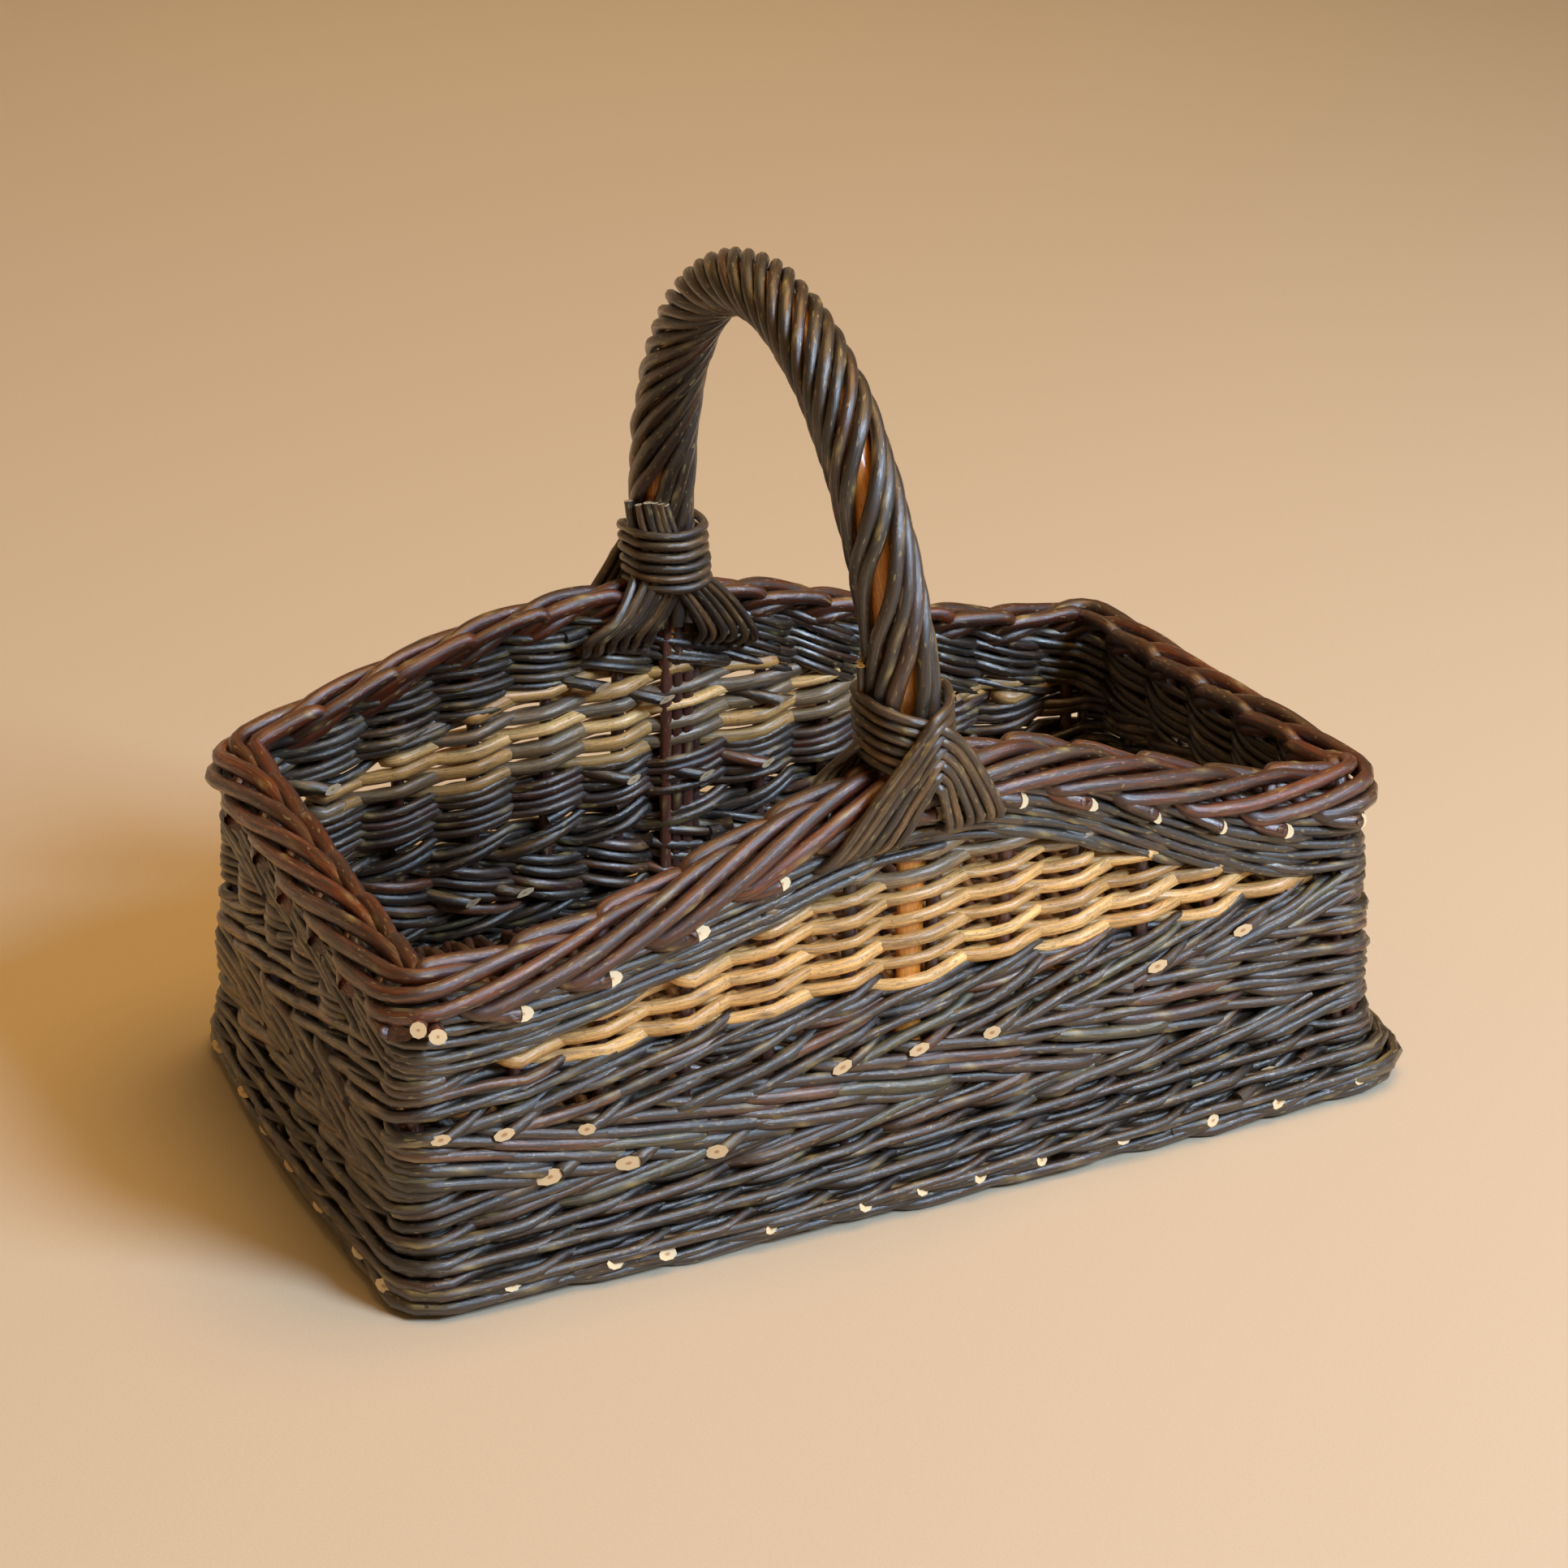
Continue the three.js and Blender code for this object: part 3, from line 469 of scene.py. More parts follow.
def stroke(phase):
    """In front of two stakes and behind one: how far out and how far up its stroke a rod is, from -1 to 1."""
    phase = np.mod(phase, STROKE)
    to_front, to_back = -np.cos(np.pi * phase), -np.cos(np.pi * (STROKE - phase))
    out = np.where(phase < 1, to_front, np.where(phase > STROKE - 1, to_back, 1))
    front = (phase - 0.5) / (STROKE - 1) * 2 - 1
    behind = np.where(phase < 0.5, -2 * phase, 2 * (STROKE - phase))
    return out, np.where((phase >= 0.5) & (phase <= STROKE - 0.5), front, np.clip(behind, -1, 1))


def wale_round(low, thick, tints, way, shift, lean, out=lambda girth: 0.0):
    """A round of waling: each of three rods goes in front of two stakes and behind one, rising in its stroke.
    Low is the height and out the distance from the wall's middle at each girth. Way -1 works to the left."""
    made = []
    starts = shift + WALE_START
    for a in range(STROKE):
        joins = [0, 11 + 3 * a, 23 + 3 * a, 37]
        for first, last in zip(joins[:-1], joins[1:]):
            t = np.linspace(first - 0.3, last + 0.3, int((last - first) * POINTS_PER_STOP)) + starts
            number = t if way > 0 else 2 * starts + STOPS - t
            size = thick * hand.uniform(0.88, 1.1) * np.linspace(1.08, 0.84, len(t))
            side, up = stroke(t - a - shift + wander(len(t), 14, 0.07))
            girth = at_stop(number)
            far = side * (STAKE / 2 + size / 2) + out(girth) + wander(len(t), 7, 0.45)
            z = low(girth) + lean * up * hand.uniform(0.8, 1.15) + wander(len(t), 9, 0.6)
            line = on_wall(girth, far, np.maximum(z, size * OFF_THE_FLOOR))
            made.append(rod(line, size, tints[hand.integers(len(tints))]))
    return made


def flare(girth):
    """How far the foot stands out: more at the right end than at the left, most in the middle of a side."""
    place = np.mod(girth, GIRTH[-1])
    turn, along, across = (np.interp(place, GIRTH, row) for row in (GIRTH_TURN, GIRTH_X, GIRTH_Y))
    at_end = FLARE_AT_ENDS + FLARE_TO_RIGHT * along
    bulge = FLARE_BULGE * (1 - np.where(np.abs(np.sin(turn)) > 0.5, along, across) ** 2)
    return at_end + (FLARE_AT_SIDES - at_end) * np.sin(turn) ** 2 + bulge


foot_barks = ["#21130b", "#29180e", "#2d1a10", "#1d120b", "#331f11", "#291e16", "#371d0f", "#312316"]
foot_rounds = [(5.0, 0.86), (12.6, 0.95), (20.2, 0.58), (27.8, 0.2)]
waling = []
# Height of each round and its share of the flare; a second layer of thinner rods fills the roll inside
for level, (z, share) in enumerate(foot_rounds):
    waling += wale_round(lambda g, z=z: z + 0 * g, 4.8, foot_barks, 1, level, 2.2,
                         lambda g, share=share: share * flare(g) + 0.2)
    waling += wale_round(lambda g, z=z: z + 0.4 + 0 * g, 4.3, foot_barks, 1, level + 1, 2.2,
                         lambda g, share=share: share * flare(g) - 7.5)

# Cut tips of the foot border: where the photo shows them on the front, and a stake's pitch apart elsewhere
tip_places = [front_girth(x) for x in (-231, -194, -152, -130, -85, -43, -17, 10, 39, 79, 124, 158, 201)]
tip_places += list(np.arange(tip_places[-1] + 34, GIRTH[-1] - 24, 34.5))
for girth in tip_places:
    g = girth + np.linspace(-22, 1, 8)
    z = np.linspace(6, hand.uniform(8.5, 11.5), 8)
    line = on_wall(g, flare(g) + np.linspace(1.0, 6.4, 8), z)
    tint = foot_barks[hand.integers(7)]
    waling.append(rod(line, (5.0, 5.0), tint, (False, True), (0.0, 0.95), face=outward(girth)))
foot = bundle("foot_waling", waling)

# Black-brown bark with pale grey streaks, partly wax bloom and partly painted highlight, and a bright sheen
# along the top of each rod
dark_bark = willow("dark_waxy_bark", 0.7, "#b0a898", 0.2, 0.26, 1.0)
finish(foot, dark_bark, "dark_willow", "foot_wale")


# Siding: dark rods woven all the way round in three bands. The lower and the upper are French rands, whose
# rods climb to the right. The middle is four rounds of thicker waling that lean the other way. Plain rows
# fill the wall up to the packing, and pale butts show between the bands.

SIDING_LOW, SIDING_TOP, SIDING_TOP_BACK = 31.5, 92.5, 115.0
PACKING_BELOW, PACKING_CLOSER, PACKING_STEP, STEP_X, STEP_REACH = 22.0, 3.0, 6.0, -145.0, 70.0
PLAIN_FRONT, PLAIN_BACK, PLAIN_PITCH, PLAIN_RISE, PLAIN_SHORTEST = 82.0, 93.0, 2.4, 1.8, 20
siding_barks = ["#5d3217", "#514b2f", "#261306", "#301b0a", "#201208", "#3d220d", "#3f2a11", "#291d10",
                "#441a08", "#371d0b", "#1c1007", "#392711", "#2e1508", "#492a12", "#2b2216"]


def on_front(xs, values, girth):
    """A height that follows the photographed front, and repeats its mean height on the other sides."""
    place = np.mod(girth + 40, GIRTH[-1]) - 40
    x = place - STRAIGHT_LONG / 2 + WALL_SHIFT
    share = np.clip((240 - np.abs(place - STRAIGHT_LONG / 2)) / 25, 0, 1)
    return np.interp(x, xs, values) * share + np.mean(values) * (1 - share)


def middle_low(girth):
    return on_front([-220, -172, -101, 0, 76, 140, 215], [50, 46, 42, 44, 42, 46, 51], girth)


def middle_high(girth):
    return on_front([-220, -157, -46, 23, 103, 146, 215], [74, 65, 64, 64, 71, 77, 82], girth)


def packing_top(girth):
    """Top of the packing: it follows the border, closer in the middle and at the left of the front."""
    rising = by_side(PACKING_STEP * hill(along_x(girth) - STEP_X, STEP_REACH), 0 * girth, girth)
    return border_low(girth) - PACKING_BELOW + PACKING_CLOSER * hill(along_x(girth), RIM_REACH) + rising


def siding_top(girth):
    """The siding ends lower in front than at the back, and reaches the upper wale at the corners and ends."""
    highest = packing_top(girth)
    share = np.clip((np.abs(along_x(girth) - WALL_SHIFT) - HALF_LENGTH + 44) / 36, 0, 1)
    level = np.minimum(by_side(SIDING_TOP, SIDING_TOP_BACK, girth), highest - 5)
    return level + (highest - 1 - level) * share


def upper_rand_top(girth):
    return by_side(siding_top(girth) + 2.5, 94.0 + 0 * girth, girth)


def rand_band(low, high, layers, lean, thick, tints):
    """French randing: a rod starts at every stake, goes in front of two and behind one, and climbs."""
    made = []
    for start in range(STOPS):
        t = np.linspace(start + 0.42, start + 0.5 + layers + hand.uniform(0.0, 0.6), int(layers * 10))
        girth = at_stop(t)
        side, up = stroke(t - start + hand.normal(0, 0.09))
        size = thick * hand.uniform(0.86, 1.12) * np.linspace(1.12, 0.76, len(t))
        bottom, top = low(girth) + lean, high(girth) - lean
        share = (t - start - 0.3) / layers
        z = bottom + (top - bottom) * share + lean * up * hand.uniform(0.8, 1.2) + wander(len(t), 8, 0.7)
        far = side * (STAKE / 2 + size / 2 - 0.3) + hand.normal(0, 0.5) + wander(len(t), 8, 0.4)
        made.append(rod(on_wall(girth, far, z), size, tints[hand.integers(len(tints))]))
    return made


def plain_round(height, shift, first, last, reach):
    """A row of single weaving that fills a side up to its packing, cut off where the height has no value."""
    t = np.linspace(first, last, int(12 * (last - first)))
    girth = at_stop(t)
    far = np.cos(np.pi * (t - shift)) * reach
    z = height(girth) + PLAIN_RISE * np.sin(np.pi * (t - shift))
    made, held = [], np.isfinite(z)
    edges = np.flatnonzero(np.diff(np.concatenate([[False], held, [False]]).astype(int)))
    for begin, end in zip(edges[::2], edges[1::2]):
        part, count = slice(begin, end), end - begin
        if count > PLAIN_SHORTEST:
            line = on_wall(girth[part], far[part] + wander(count, 8, 0.4), z[part] + wander(count, 8, 0.7))
            made.append(rod(line, np.linspace(5.4, 4.6, count), siding_barks[hand.integers(13)]))
    return made


def back_level(girth, row):
    """Height of a plain row at the back, where the siding reaches above it, and no value elsewhere."""
    level = PLAIN_PITCH * row
    return np.where(siding_top(girth) > PLAIN_BACK + 1 + level, PLAIN_BACK + level, np.nan)


def butt_end(girth, z, thick, tint, side=1):
    """The start of a rod, outside the wall or inside it (side -1): it comes out from behind a stake, lies
    proud of the weave and is cut slanting and pale."""
    g = girth + np.array([-2.0, 1.5, 5, 9, 14, 19, 25])
    out = np.array([9.6, 9.0, 8.0, 6.4, 3.8, 0.6, -3.0])
    rise = np.array([-0.8, 0.0, 1.0, 2.1, 3.4, 4.8, 6.0])
    line = on_wall(g, side * out, z + rise)
    return rod(line, (thick, thick), tint, (True, False), (1.0, 0), face=side * outward(girth))


# Where the photo shows butts, as x and height: over the middle band, under it, on the foot, inside the back
seen_butts = [(-216, 76), (-191, 72), (-157, 66), (-46, 67), (-11, 67), (23, 67), (103, 79), (146, 86)]
thick_butts = [(-172, 49), (-139, 47), (-101, 43)]
low_butts = [(85, 19), (126, 20), (161, 20)]
inner_butts = [(-56, 155), (-24, 143), (38, 131), (29, 100), (-3, 100), (-40, 105), (-94, 56), (-119, 56),
               (-186, 130)]

walls = []
walls += rand_band(lambda g: SIDING_LOW - 1 + 0 * g, lambda g: middle_low(g) + 4, 6.4, 6.0, 5.0, siding_barks)
for shift, share in enumerate((0.12, 0.38, 0.64, 0.9)):
    walls += wale_round(lambda g, share=share: middle_low(g) + share * (middle_high(g) - middle_low(g)),
                        5.6, siding_barks, -1, shift, lean=4.6)
walls += rand_band(lambda g: middle_high(g) - 5, upper_rand_top, 8.0, 6.2, 5.1, siding_barks)
for row in range(9):
    walls += plain_round(lambda g, row=row: back_level(g, row), row, 11.0, 37.0, 5.6)
for row in range(5):
    walls += plain_round(lambda g, row=row: PLAIN_FRONT + PLAIN_PITCH * row + 0 * g, row, 0.3, 12.4, 3.4)
for x, z in seen_butts + low_butts:
    walls.append(butt_end(front_girth(x), z, 4.7, siding_barks[hand.integers(8)]))
for x, z in thick_butts:
    walls.append(butt_end(front_girth(x), z, 6.2, "#43352a"))
# On the sides that the photo doesn't show, a butt starts behind six stakes in ten
for stop in range(13, 30):
    if hand.random() < 0.6:
        z = 67 + hand.normal(0, 1.5)
        walls.append(butt_end(at_stop(stop + 0.5), z, 5.0, siding_barks[hand.integers(8)]))
for x, z in inner_butts:
    walls.append(butt_end(back_girth(x), z, 5.6, siding_barks[hand.integers(8)], -1))
siding = bundle("siding_weave", walls)
finish(siding, dark_bark, "dark_willow", "side_weave")


# Packing: light rods woven to and fro on the two long sides only. Each row turns back round a stake sooner
# than the one below, which builds up the middle of the side and leaves see-through gaps.

PACKING_ROW, PACKING_RISE, PACKING_OUT, PACKING_TURN = 4.4, 1.9, 5.3, 6.5
PACKING_ROD_FRONT, PACKING_ROD_BACK, LOWEST_PALE_RODS = 5.6, 6.4, 5
packing_barks = ["#daa75d", "#cc9b53", "#edb769", "#be914d", "#e3b36b", "#b0884c", "#f4c276"]
shaded_barks = ["#72604a", "#5f4d3a", "#7d6543"]


def packing(first_stop, last_stop, low, light, thick):
    """One long rod after another is woven to and fro between the dark siding and the upper wale. Light is the
    share of pale rods; on the front, where it is more than half, the lowest rods are all pale."""
    line, way = [], 1
    for row in range(20):
        z = low + PACKING_ROW * row
        stops_here = [s for s in range(first_stop, last_stop + 1)
                      if packing_top(at_stop(s)) > z - 1.5 and siding_top(at_stop(s)) < z + 3.5]
        if len(stops_here) < 2:
            continue
        first, last = (stops_here[0], stops_here[-1]) if way > 0 else (stops_here[-1], stops_here[0])
        t = np.linspace(first, last, int(abs(last - first) * 9) + 1)
        straight = 1 - 2 * np.abs(np.mod(t - row + 1, 2) - 1)
        far = (0.6 * straight + 0.4 * np.cos(np.pi * (t - row))) * PACKING_OUT
        line.append(np.stack([at_stop(t), far, z + PACKING_RISE * np.sin(np.pi * (t - row))], 1))
        swing = np.linspace(0, np.pi, 9)[1:-1]
        line.append(np.stack([at_stop(last) + way * PACKING_TURN * np.sin(swing), far[-1] * np.cos(swing),
                              z + PACKING_ROW * swing / np.pi], 1))
        way = -way
    line = np.vstack(line[:-1])
    made, at = [], 0
    while at < len(line) - 12:
        count = int(hand.uniform(70, 120))
        part = line[max(at - 4, 0):at + count]
        pale = hand.random() < light or (light > 0.5 and len(made) < LOWEST_PALE_RODS)
        tint = packing_barks[hand.integers(7)] if pale else shaded_barks[hand.integers(3)]
        size = thick * hand.uniform(0.93, 1.08) * np.linspace(1.0, 0.86, len(part))
        out, z = part[:, 1] + wander(len(part), 7, 0.3), part[:, 2] + wander(len(part), 7, 0.45)
        made.append(rod(on_wall(part[:, 0], out, z), size, tint, (True, True), (0.5, 0.5), 1.12, 0.9))
        at += count
    return made


# Buff bark of unpeeled green willow, dried: pale straw, duller than the dark bark and finely streaked
buff_bark = willow("buff_dried_bark", 0.34, "#e0c492", 0.4, 0.42, 0.7, "#7d5a34")
front_rods = packing(1, 12, SIDING_TOP + 2.0, 0.6, PACKING_ROD_FRONT)
front_packing = bundle("front_packing", front_rods, 8, 40)
# Fewer pale rods at the back: partly the rods' own darker colours, partly painted shade for the shaded inside
# of the back wall
back_rods = packing(18, 29, SIDING_TOP_BACK - 9.0, 0.3, PACKING_ROD_BACK)
back_packing = bundle("back_packing", back_rods, 8, 40)
finish(front_packing, buff_bark, "buff_willow", "packing_front")
finish(back_packing, buff_bark, "buff_willow", "packing_back")


# Upper wale: six rounds of thin dark rods, three at a time, which follow the raised rim and hold the packing
# down. They are worked to the left and fill the band between the packing and the border.

UPPER_ROD, UPPER_LEAN = 4.4, 3.4
upper_shares = (0.04, 0.27, 0.5, 0.73, 0.96, 1.18)
upper_barks = ["#2a1b11", "#322316", "#23170f", "#392919", "#40311c", "#2e1f12", "#3d2417", "#342e24"]
upper = []
for level, share in enumerate(upper_shares):
    upper += wale_round(lambda g, share=share: packing_top(g) + share * (border_low(g) - packing_top(g)),
                        UPPER_ROD, upper_barks, -1, level, UPPER_LEAN)
upper_wale = bundle("upper_wale", upper)
finish(upper_wale, dark_bark, "dark_willow", "top_wale")


# Border: the tops of the stakes themselves, bent over to the right, laid behind one stake and in front of
# three, and turned out again below. Each ends in a short cut stub on the outside lower edge, and two more
# stubs stick out side by side at the front left corner.

BORDER_THINNEST, BORDER_THICKEST, BORDER_INSIDE, STUB_SLANT = 7.0, 7.9, 8.0, 1.1
border_barks = ["#4d1b04", "#5a2106", "#451906", "#632808", "#511e06", "#411f09", "#682b06", "#481c06"]
# One stake's way through the border: stops along, outward, up
border_turns = np.array([
    (-0.02, 0.0, -14.0), (0.0, -1.5, 4.0), (0.03, -4.0, 11.5), (0.10, -6.3, 15.5), (0.22, -7.0, 17.0),
    (0.55, -7.3, 16.5), (1.0, -7.0, 14.2), (1.25, -3.0, 9.0), (1.45, 4.5, 3.2), (1.62, 8.4, 2.0),
    (2.0, 10.0, 5.2), (2.5, 9.8, 9.0), (3.0, 8.0, 12.8), (3.5, 5.2, 16.0), (4.0, 1.0, 17.6),
    (4.4, -3.2, 15.6), (4.8, -5.8, 11.0), (5.1, -5.0, 6.5), (5.4, 1.0, 1.5), (5.62, 7.6, -0.6),
    (5.86, 10.6, -1.6), (5.97, 11.2, -2.0)])


def smooth(table, count):
    """A smooth line through the rows of a table, by cardinal splines."""
    rows = np.vstack([2 * table[0] - table[1], table, 2 * table[-1] - table[-2]])
    where = np.linspace(0, len(table) - 1 - 1e-9, count)
    i = where.astype(int)
    u = (where - i)[:, None]
    a, b, c, d = rows[i], rows[i + 1], rows[i + 2], rows[i + 3]
    second, third = 2 * a - 5 * b + 4 * c - d, 3 * b - 3 * c + d - a
    return 0.5 * (2 * b + (c - a) * u + second * u ** 2 + third * u ** 3)


rim = []
turns = smooth(border_turns, 96)
for start in range(STOPS):
    girth = at_stop(start + turns[:, 0])
    out = np.maximum(turns[:, 1] + wander(96, 16, 0.35), -BORDER_INSIDE)
    z = border_low(girth) + turns[:, 2] + wander(96, 16, 0.4)
    size = hand.uniform(BORDER_THINNEST, BORDER_THICKEST) * np.linspace(1.0, 0.82, 96)
    tint = border_barks[hand.integers(8)]
    # On the left end the stubs' cuts are as dark as the bark
    pale_cut = not 24 <= start <= 30
    rim.append(rod(on_wall(girth, out, z), size, tint, (False, pale_cut), (0, STUB_SLANT),
                   face=outward(girth[-1])))
for girth, drop in ((GIRTH[-1] - 4.4, -2.5), (GIRTH[-1] - 1.5, 1.0)):
    out = np.linspace(2.0, 14.5, 7)
    line = on_wall(np.full(7, girth), out, border_low(girth) - drop + 0 * out)
    rim.append(rod(line, (6.8, 6.8), "#7a4630", (False, True)))
border = bundle("border_roll", rim, 10, 34)

# Red-brown bark with faint pale streaks, as glossy as the dark siding
border_bark = willow("glossy_red_brown_bark", 0.7, "#c08c66", 0.2, 0.26, 1.0)
finish(border, border_bark, "red_willow", "border")


# Bow: one thick rod of peeled willow, turned orange with age. It is cut flat where it is pushed down inside
# the wall, and round where it forms the handle. It shows between the weavers and between the handle rods.

BOW, BOW_FLAT_WIDE, BOW_FLAT_DEEP = 16.0, 12.4, 7.0
BOW_FOOT, BOW_FLAT_TOP, BOW_ROUNDING = 40.0, 150.0, 48.0
BOW_LEAN, BOW_HALF_SPAN, BOW_SPRING, BOW_APEX = 0.085, 103.5, 196.0, 355.0


def bow_centre(z, y):
    return turned(BOW_X - BOW_LEAN * np.maximum(0, z - BOW_FLAT_TOP), y, z)


arch = np.linspace(-math.pi / 2, math.pi / 2, 73)
arch_z = BOW_SPRING + (BOW_APEX - BOW_SPRING) * np.cos(arch)
leg_z = np.linspace(BOW_FOOT, BOW_SPRING, 40)[:-1]
bow_line = np.vstack([bow_centre(leg_z, -half_width(leg_z)), bow_centre(arch_z, BOW_HALF_SPAN * np.sin(arch)),
                      bow_centre(leg_z[::-1], half_width(leg_z[::-1]))])
bow_z = bow_line[:, 2]
flat = np.clip(1 - np.maximum(0, bow_z - BOW_FLAT_TOP) / BOW_ROUNDING, 0, 1)
bow_wide, bow_deep = 1 + (BOW_FLAT_WIDE / BOW - 1) * flat, 1 + (BOW_FLAT_DEEP / BOW - 1) * flat
bow = bundle("bow_rod", [rod(bow_line, (BOW,), "#dd8a1e", wide=bow_wide, deep=bow_deep)], 20, 60)

# Peeled willow, aged and oiled: orange-brown wood with fine long grain and a soft gloss
peeled_wood = willow("peeled_aged_willow", 0.22, "#f0a640", 0.4, 0.38, 0.15, "#a85c14")
finish(bow, peeled_wood, "peeled_wood", "bow")


# Handle rods: five long dark rods wound over the bow and back, so that ten strands lie side by side round it.
# They are pushed down beside the bow at its feet, and lie steeper at the feet than over the top.

HANDLE_STRANDS, STRAND, STRAND_CLEARANCE, STRAND_LOW = 10, 6.5, 0.3, 178.0
LAY_AT_FEET, LAY_ON_TOP, GAP_ANGLE = 13, 37, math.radians(27)
strand_barks = ["#281c14", "#312116", "#241910", "#362215", "#2b1e15", "#402515", "#291f15", "#342517",
                "#241a13", "#3f2113"]
wind = np.linspace(-math.pi / 2, math.pi / 2, 150)
wind_z = BOW_SPRING + (BOW_APEX - BOW_SPRING) * np.cos(wind)
wind_line = bow_centre(wind_z, BOW_HALF_SPAN * np.sin(wind))
feet_z = np.linspace(STRAND_LOW, BOW_SPRING, 9)[:-1]
wind_line = np.vstack([bow_centre(feet_z, -BOW_HALF_SPAN), wind_line,
                       bow_centre(feet_z[::-1], BOW_HALF_SPAN)])
wind_along = np.gradient(wind_line, axis=0)
wind_step = np.linalg.norm(wind_along, axis=1)
wind_along /= wind_step[:, None]
wind_right = np.array([1.0, 0, 0]) - wind_along[:, :1] * wind_along
wind_right /= np.linalg.norm(wind_right, axis=1)[:, None]
wind_inward = np.cross(wind_along, wind_right)
height = np.clip((wind_line[:, 2] - BOW_SPRING) / (BOW_APEX - BOW_SPRING), 0, 1)
lay = np.radians(LAY_AT_FEET + (LAY_ON_TOP - LAY_AT_FEET) * height ** 1.2)
wound = np.cumsum(np.tan(lay) * wind_step) / (BOW / 2 + 3)
# Where the strands part and show the bow: middle and half length of the gap, in points along the handle, and
# the strand before it
gaps = [(40.0, 11.0, 0), (13.5, 6.0, 5), (27.0, 6.0, 2), (144.5, 6.0, 4)]
strands = []
for k in range(HANDLE_STRANDS):
    turn = 2 * np.pi * k / HANDLE_STRANDS + wound + wander(len(wound), 22, 0.05)
    for middle, half, before in gaps:
        gap = GAP_ANGLE * hill(np.arange(len(wound)) - middle, half) ** 0.6
        turn += gap * (0.45 - ((k - before - 1) % HANDLE_STRANDS) / HANDLE_STRANDS)
    size = STRAND * np.cos(lay) * np.linspace(1.04, 0.98, len(wound))[::1 if k % 2 else -1]
    far = BOW / 2 + STRAND_CLEARANCE + size / 2 + np.abs(wander(len(wound), 18, 0.3))
    away = np.cos(turn)[:, None] * wind_right + np.sin(turn)[:, None] * wind_inward
    strands.append(rod(wind_line + far[:, None] * away, size, strand_barks[k]))
handle = bundle("handle_strands", strands, 10, 26)

# Dark brown bark, rubbed by the hand: almost as glossy as the siding, with browner pale streaks, partly bloom
# and partly painted highlight
handle_bark = willow("dark_handle_bark", 0.7, "#967a58", 0.24, 0.29, 1.0)
finish(handle, handle_bark, "wrap_willow", *[f"handle_rod_{i + 1}" for i in range(5)])


# Foot lashings: at each foot of the bow, six thin rods are led up from the left, turned round the handle and
# brought down to the right, each crossing the last. They pass in under the border and end in cut tips inside.

LASHING_RODS, LASHING_ROD, LASHING_DROP, LASHING_CLEARANCE = 6, 4.3, 7.0, 0.3
COLLAR_TOP, COLLAR_PITCH, COLLAR_RISE, BACK_LIFT = 209.0, 5.0, 6.5, 8.0
COLLAR_RADIUS = BOW / 2 + STRAND_CLEARANCE + STRAND + LASHING_CLEARANCE + LASHING_ROD / 2
lashing_barks = ["#3a2617", "#533a1d", "#402c1a", "#302318", "#5f4020", "#37271d"]


def lashing_rod(k, side):
    """The line of one rod: along the wall, out from the bow, up. At the back the rim is higher."""
    girth_at = front_girth if side < 0 else back_girth
    lift = 0.0 if side < 0 else BACK_LIFT
    low = COLLAR_TOP + lift - COLLAR_PITCH * k
    ring = low + COLLAR_RISE
    left, right = -61.0 + 6.1 * k, 21.0 - 5.3 * k
    slot_left = min(border_low(girth_at(left)), 162.0 + 2 * lift) - LASHING_DROP
    slot_right = min(border_low(girth_at(right)), 166.0 + lift) - LASHING_DROP
    near, far = COLLAR_RADIUS, COLLAR_RADIUS + LASHING_ROD - 0.4

    def bow_at(z):
        return BOW_X - BOW_LEAN * (z - BOW_FLAT_TOP)

    def round_bow(degrees, radius, z):
        turn = math.radians(degrees)
        return bow_at(z) + radius * math.cos(turn), radius * math.sin(turn), z

    def on_hand_side(across, z):
        across = np.clip(across, -0.96 * near, 0.96 * near)
        return bow_at(z) + across, -math.sqrt(near ** 2 - across ** 2), z

    points = [on_hand_side(-15.5 + 3.3 * k, 204 + lift), on_hand_side(-16.0 + 3.3 * k, 196 + lift)]
    points += [(0.45 * (bow_at(190) - 16 + 3.3 * k) + 0.55 * left, -15.0, 179 + lift)]
    points += [(left, -13.0, slot_left + 7)]
    points += [(left, out, slot_left) for out in (-8.0, 0.0, 8.0)]
    for share, out in ((0.12, 13.6), (0.32, 16.0), (0.55, 17.6), (0.8, far - 1.2), (1.0, far)):
        points.append((left + (bow_at(low) - left) * share, out, slot_left + (low + 2.6 - slot_left) * share))
    round_it = [(60, near + 1.6, low + 4.6), (30, near, low + 6.2), (0, near, ring + 0.6)]
    round_it += [(-45, near + 3.2, ring), (-90, near + 4.0, ring - 0.6), (-135, near + 3.2, ring)]
    round_it += [(180, near, ring), (150, near, low + 4.9), (120, near, low + 2.6), (95, near + 0.8, low)]
    points += [round_bow(*turn) for turn in round_it]
    for share, out in ((0.16, far), (0.4, far - 1.6), (0.62, 17.4), (0.84, 15.8), (0.96, 12.6)):
        x = bow_at(low) + (right - bow_at(low)) * share ** 0.85
        points.append((x, out, low + (slot_right - low) * share ** 1.25))
    points += [(right, out, slot_right) for out in (7.0, 0.0, -8.0)]
    points += [(right, -13.0, slot_right + 7)]
    points += [(0.5 * (bow_at(190) + 8 - 3.2 * k) + 0.5 * right, -15.0, 182 + lift)]
    for across, z in ((7.0 - 3.2 * k, 198), (2.5 - 3.1 * k, 208), (-1.5 - 2.9 * k, 217)):
        points.append(on_hand_side(across, z + lift))
    points.append(on_hand_side(-4.5 - 2.4 * k, 229 + lift + hand.uniform(-1.5, 1.5)))
    line = smooth(np.array(points), 210)
    line += np.stack([wander(210, 14, 0.25) for _ in range(3)], 1)
    return np.stack([line[:, 0], side * (HALF_WIDTH_AT_RIM + line[:, 1]), line[:, 2]], 1)
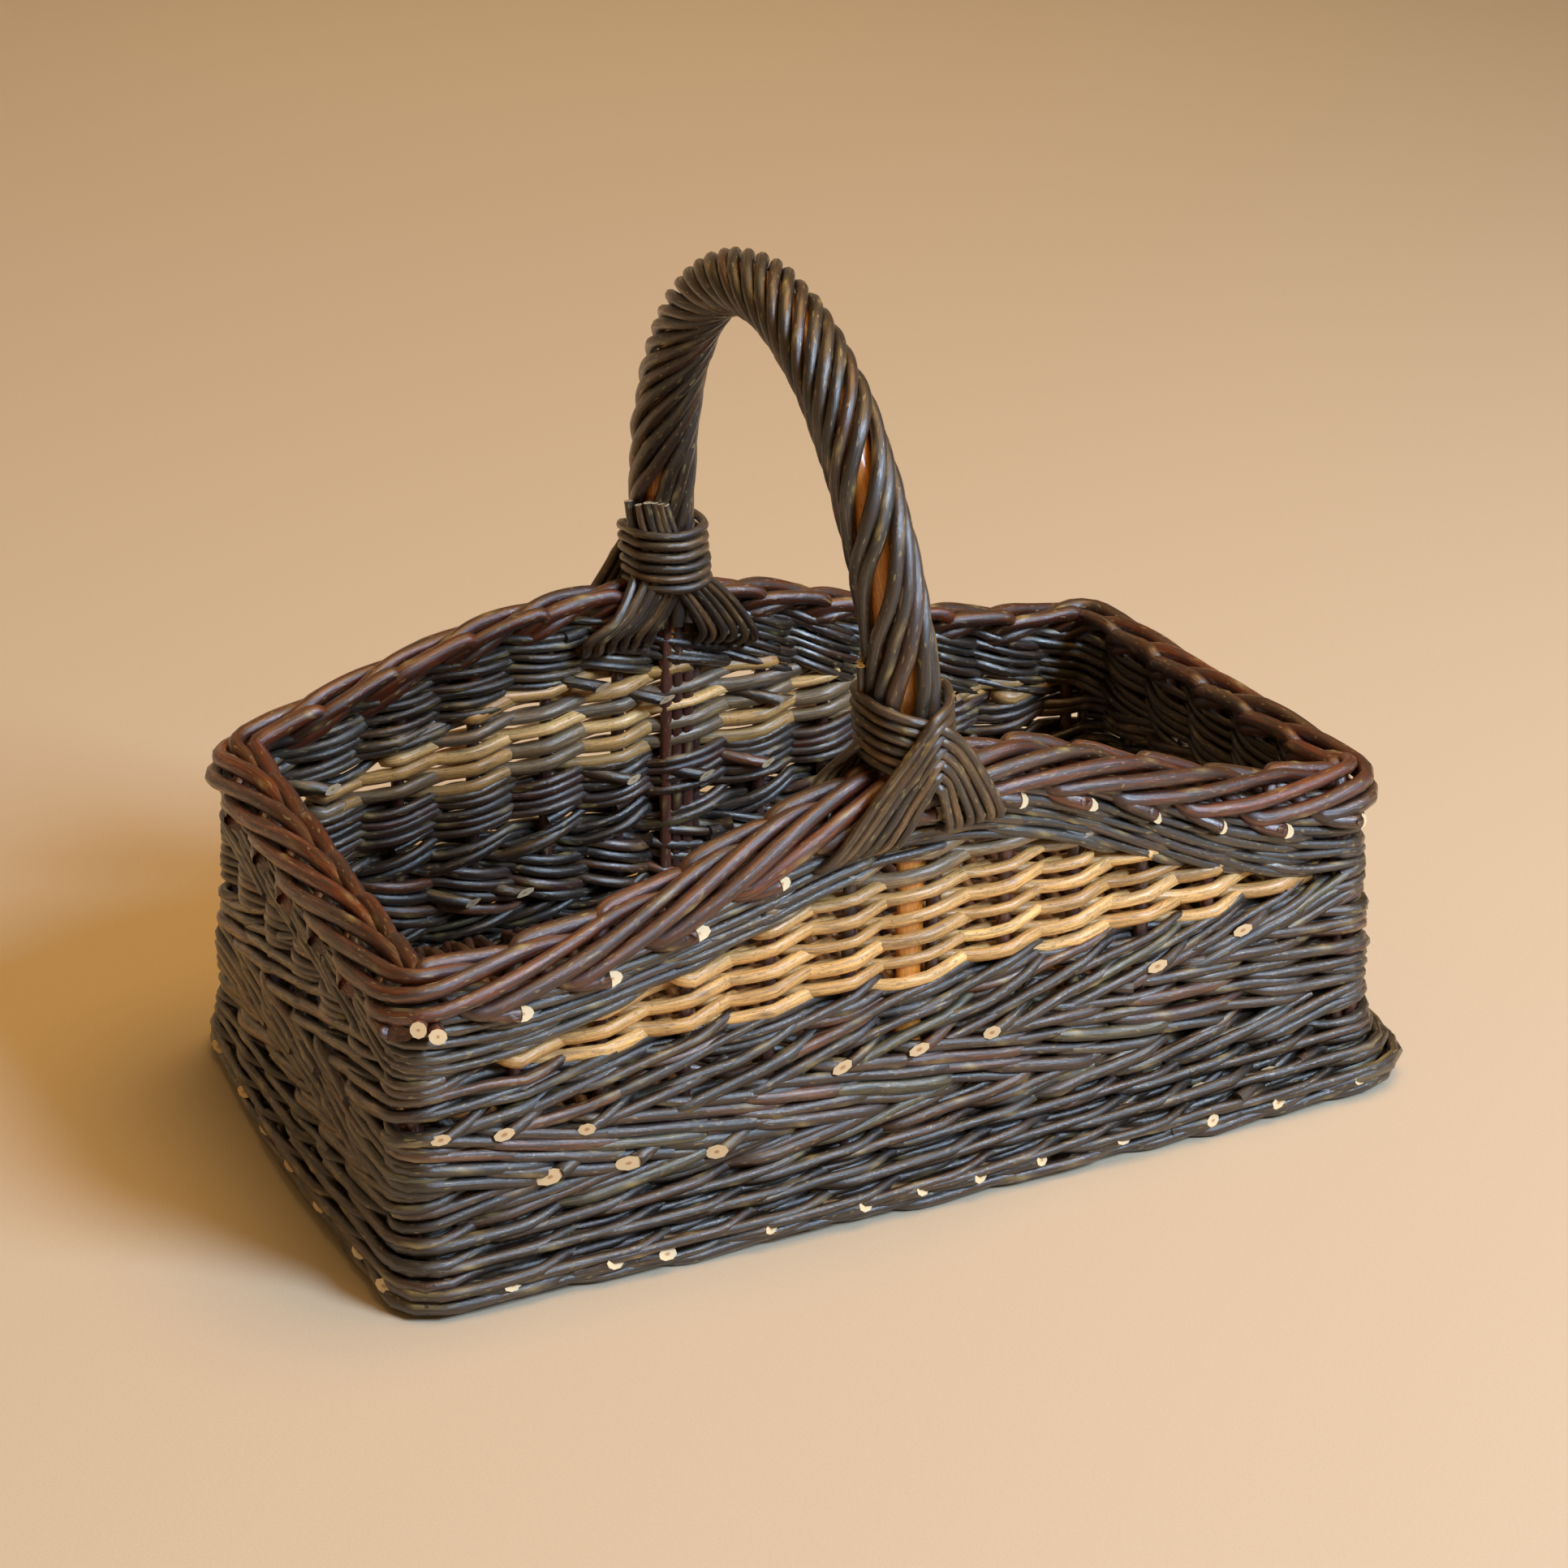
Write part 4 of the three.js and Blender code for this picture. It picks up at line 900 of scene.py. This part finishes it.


# Brown bark, soaked and wound on: a softer gloss, with light brown streaks, partly rubbed bark and partly
# painted highlight
lashing_bark = willow("rubbed_brown_bark", 0.6, "#a88c60", 0.45, 0.32, 1.0)
for name, side in (("lashing_front", -1), ("lashing_back", 1)):
    thick = (LASHING_ROD + 0.2, LASHING_ROD - 0.7)
    wound_on = [rod(lashing_rod(k, side), thick, lashing_barks[k], (True, True), (0.3, 0.3))
                for k in range(LASHING_RODS)]
    lashing = bundle(f"{name}_rods", wound_on, 9, 24)
    finish(lashing, lashing_bark, "wrap_willow", name)


# Studio: a warm sheet of paper lies on the floor and sweeps up behind. A large, soft and cool lamp at the
# right front is the main light. A larger warm lamp hangs above, a weak one lights the sweep, and the room
# adds a little warm light. The camera stands to the left of the front and looks down.

PAPER_NEAR, PAPER_BEND, PAPER_CURVE, PAPER_TOP, PAPER_HALF_WIDTH = -4.0, 3.4, 0.9, 3.0, 5.0
CAMERA_PLACE = (-0.6402, -1.0949, 0.6843)
CAMERA_YAW, CAMERA_PITCH, CAMERA_ROLL = math.radians(-29.76), math.radians(23.50), math.radians(0.93)
LENS, FILM_WIDTH = 74.07, 36.0


def paper_sweep():
    bend = np.linspace(0.1, math.pi / 2, 14)
    depth = np.concatenate([np.linspace(PAPER_NEAR, PAPER_BEND, 40), PAPER_BEND + PAPER_CURVE * np.sin(bend),
                            np.full(6, PAPER_BEND + PAPER_CURVE)])
    rise = np.concatenate([np.zeros(40), PAPER_CURVE - PAPER_CURVE * np.cos(bend),
                           np.linspace(PAPER_CURVE + 0.2, PAPER_TOP, 6)])
    across = np.linspace(-PAPER_HALF_WIDTH, PAPER_HALF_WIDTH, 21)
    points = np.array([(x, y, z) for y, z in zip(depth, rise) for x in across])
    count = len(across)
    faces = [(r * count + c, r * count + c + 1, (r + 1) * count + c + 1, (r + 1) * count + c)
             for r in range(len(depth) - 1) for c in range(count - 1)]
    return meshed("paper_sweep", points, np.array(faces), np.zeros((0, 3), int), [])


# Matt warm paper: a fine fibre, slightly uneven in tone
sweep = paper_sweep()
paper, tree = blank_material("warm_backdrop_paper")
where = node(tree, "TexCoord").outputs["Object"]
fibre = node(tree, "TexNoise", None, Vector=where, Scale=900.0, Detail=3.0)
tone = node(tree, "MapRange", None, Value=fibre.outputs["Fac"], From_Min=0.3, From_Max=0.7, To_Min=0.97,
            To_Max=1.03)
sheet = node(tree, "Mix", {"data_type": "RGBA", "blend_type": "MULTIPLY"}, Factor=1.0,
             A=(*linear("#dac9ae"), 1))
tree.links.new(tone.outputs[0], sheet.inputs["B"])
face = node(tree, "BsdfPrincipled", None, Base_Color=sheet.outputs["Result"], Roughness=0.9)
node(tree, "OutputMaterial", None, Surface=face.outputs[0])
sweep.data.materials.append(paper)


def set_up(name, made_of, place, forward, roll=0.0):
    """Put a lamp or the camera in its place, so that it looks forward and is rolled about that line."""
    right = np.cross(forward, [0, 0, 1.0])
    right /= np.linalg.norm(right)
    up = np.cross(right, forward)
    right, up = (math.cos(roll) * right + math.sin(roll) * up, -math.sin(roll) * right + math.cos(roll) * up)
    rows = [[right[i], up[i], -forward[i], place[i]] for i in range(3)]
    made = shown(name, made_of)
    made.matrix_world = Matrix(rows + [[0, 0, 0, 1]])
    return made


def lamp(name, place, aim, size, power, colour):
    light = bpy.data.lights.new(name, "AREA")
    light.shape = "DISK"
    light.size = size
    light.energy = power
    light.color = linear(colour)
    way = np.array(aim, float) - np.array(place, float)
    return set_up(name, light, place, way / np.linalg.norm(way))


lamp("soft_lamp_right", (1.3, -2.3, 2.2), (0, -0.1, 0.1), 1.2, 126, "#c8e2ff")
lamp("warm_lamp_above", (0.45, -0.3, 2.6), (0, 0, 0.1), 2.0, 41, "#ffca80")
lamp("backdrop_lamp", (1.2, 1.9, 2.0), (0.9, 4.2, 0.4), 1.2, 12, "#ffe0a8")
world = bpy.data.worlds.new("room")
world.use_nodes = True
room = world.node_tree.nodes["Background"].inputs
room["Color"].default_value = (1.0, 0.62, 0.26, 1)
room["Strength"].default_value = 0.2
bpy.context.scene.world = world

lens = bpy.data.cameras.new("camera")
lens.lens = LENS
lens.sensor_width = FILM_WIDTH
lens.sensor_fit = "HORIZONTAL"
looking = np.array([-math.sin(CAMERA_YAW) * math.cos(CAMERA_PITCH),
                    math.cos(CAMERA_YAW) * math.cos(CAMERA_PITCH), -math.sin(CAMERA_PITCH)])
bpy.context.scene.camera = set_up("camera", lens, CAMERA_PLACE, looking, CAMERA_ROLL)
bpy.context.scene.view_settings.view_transform = "Standard"
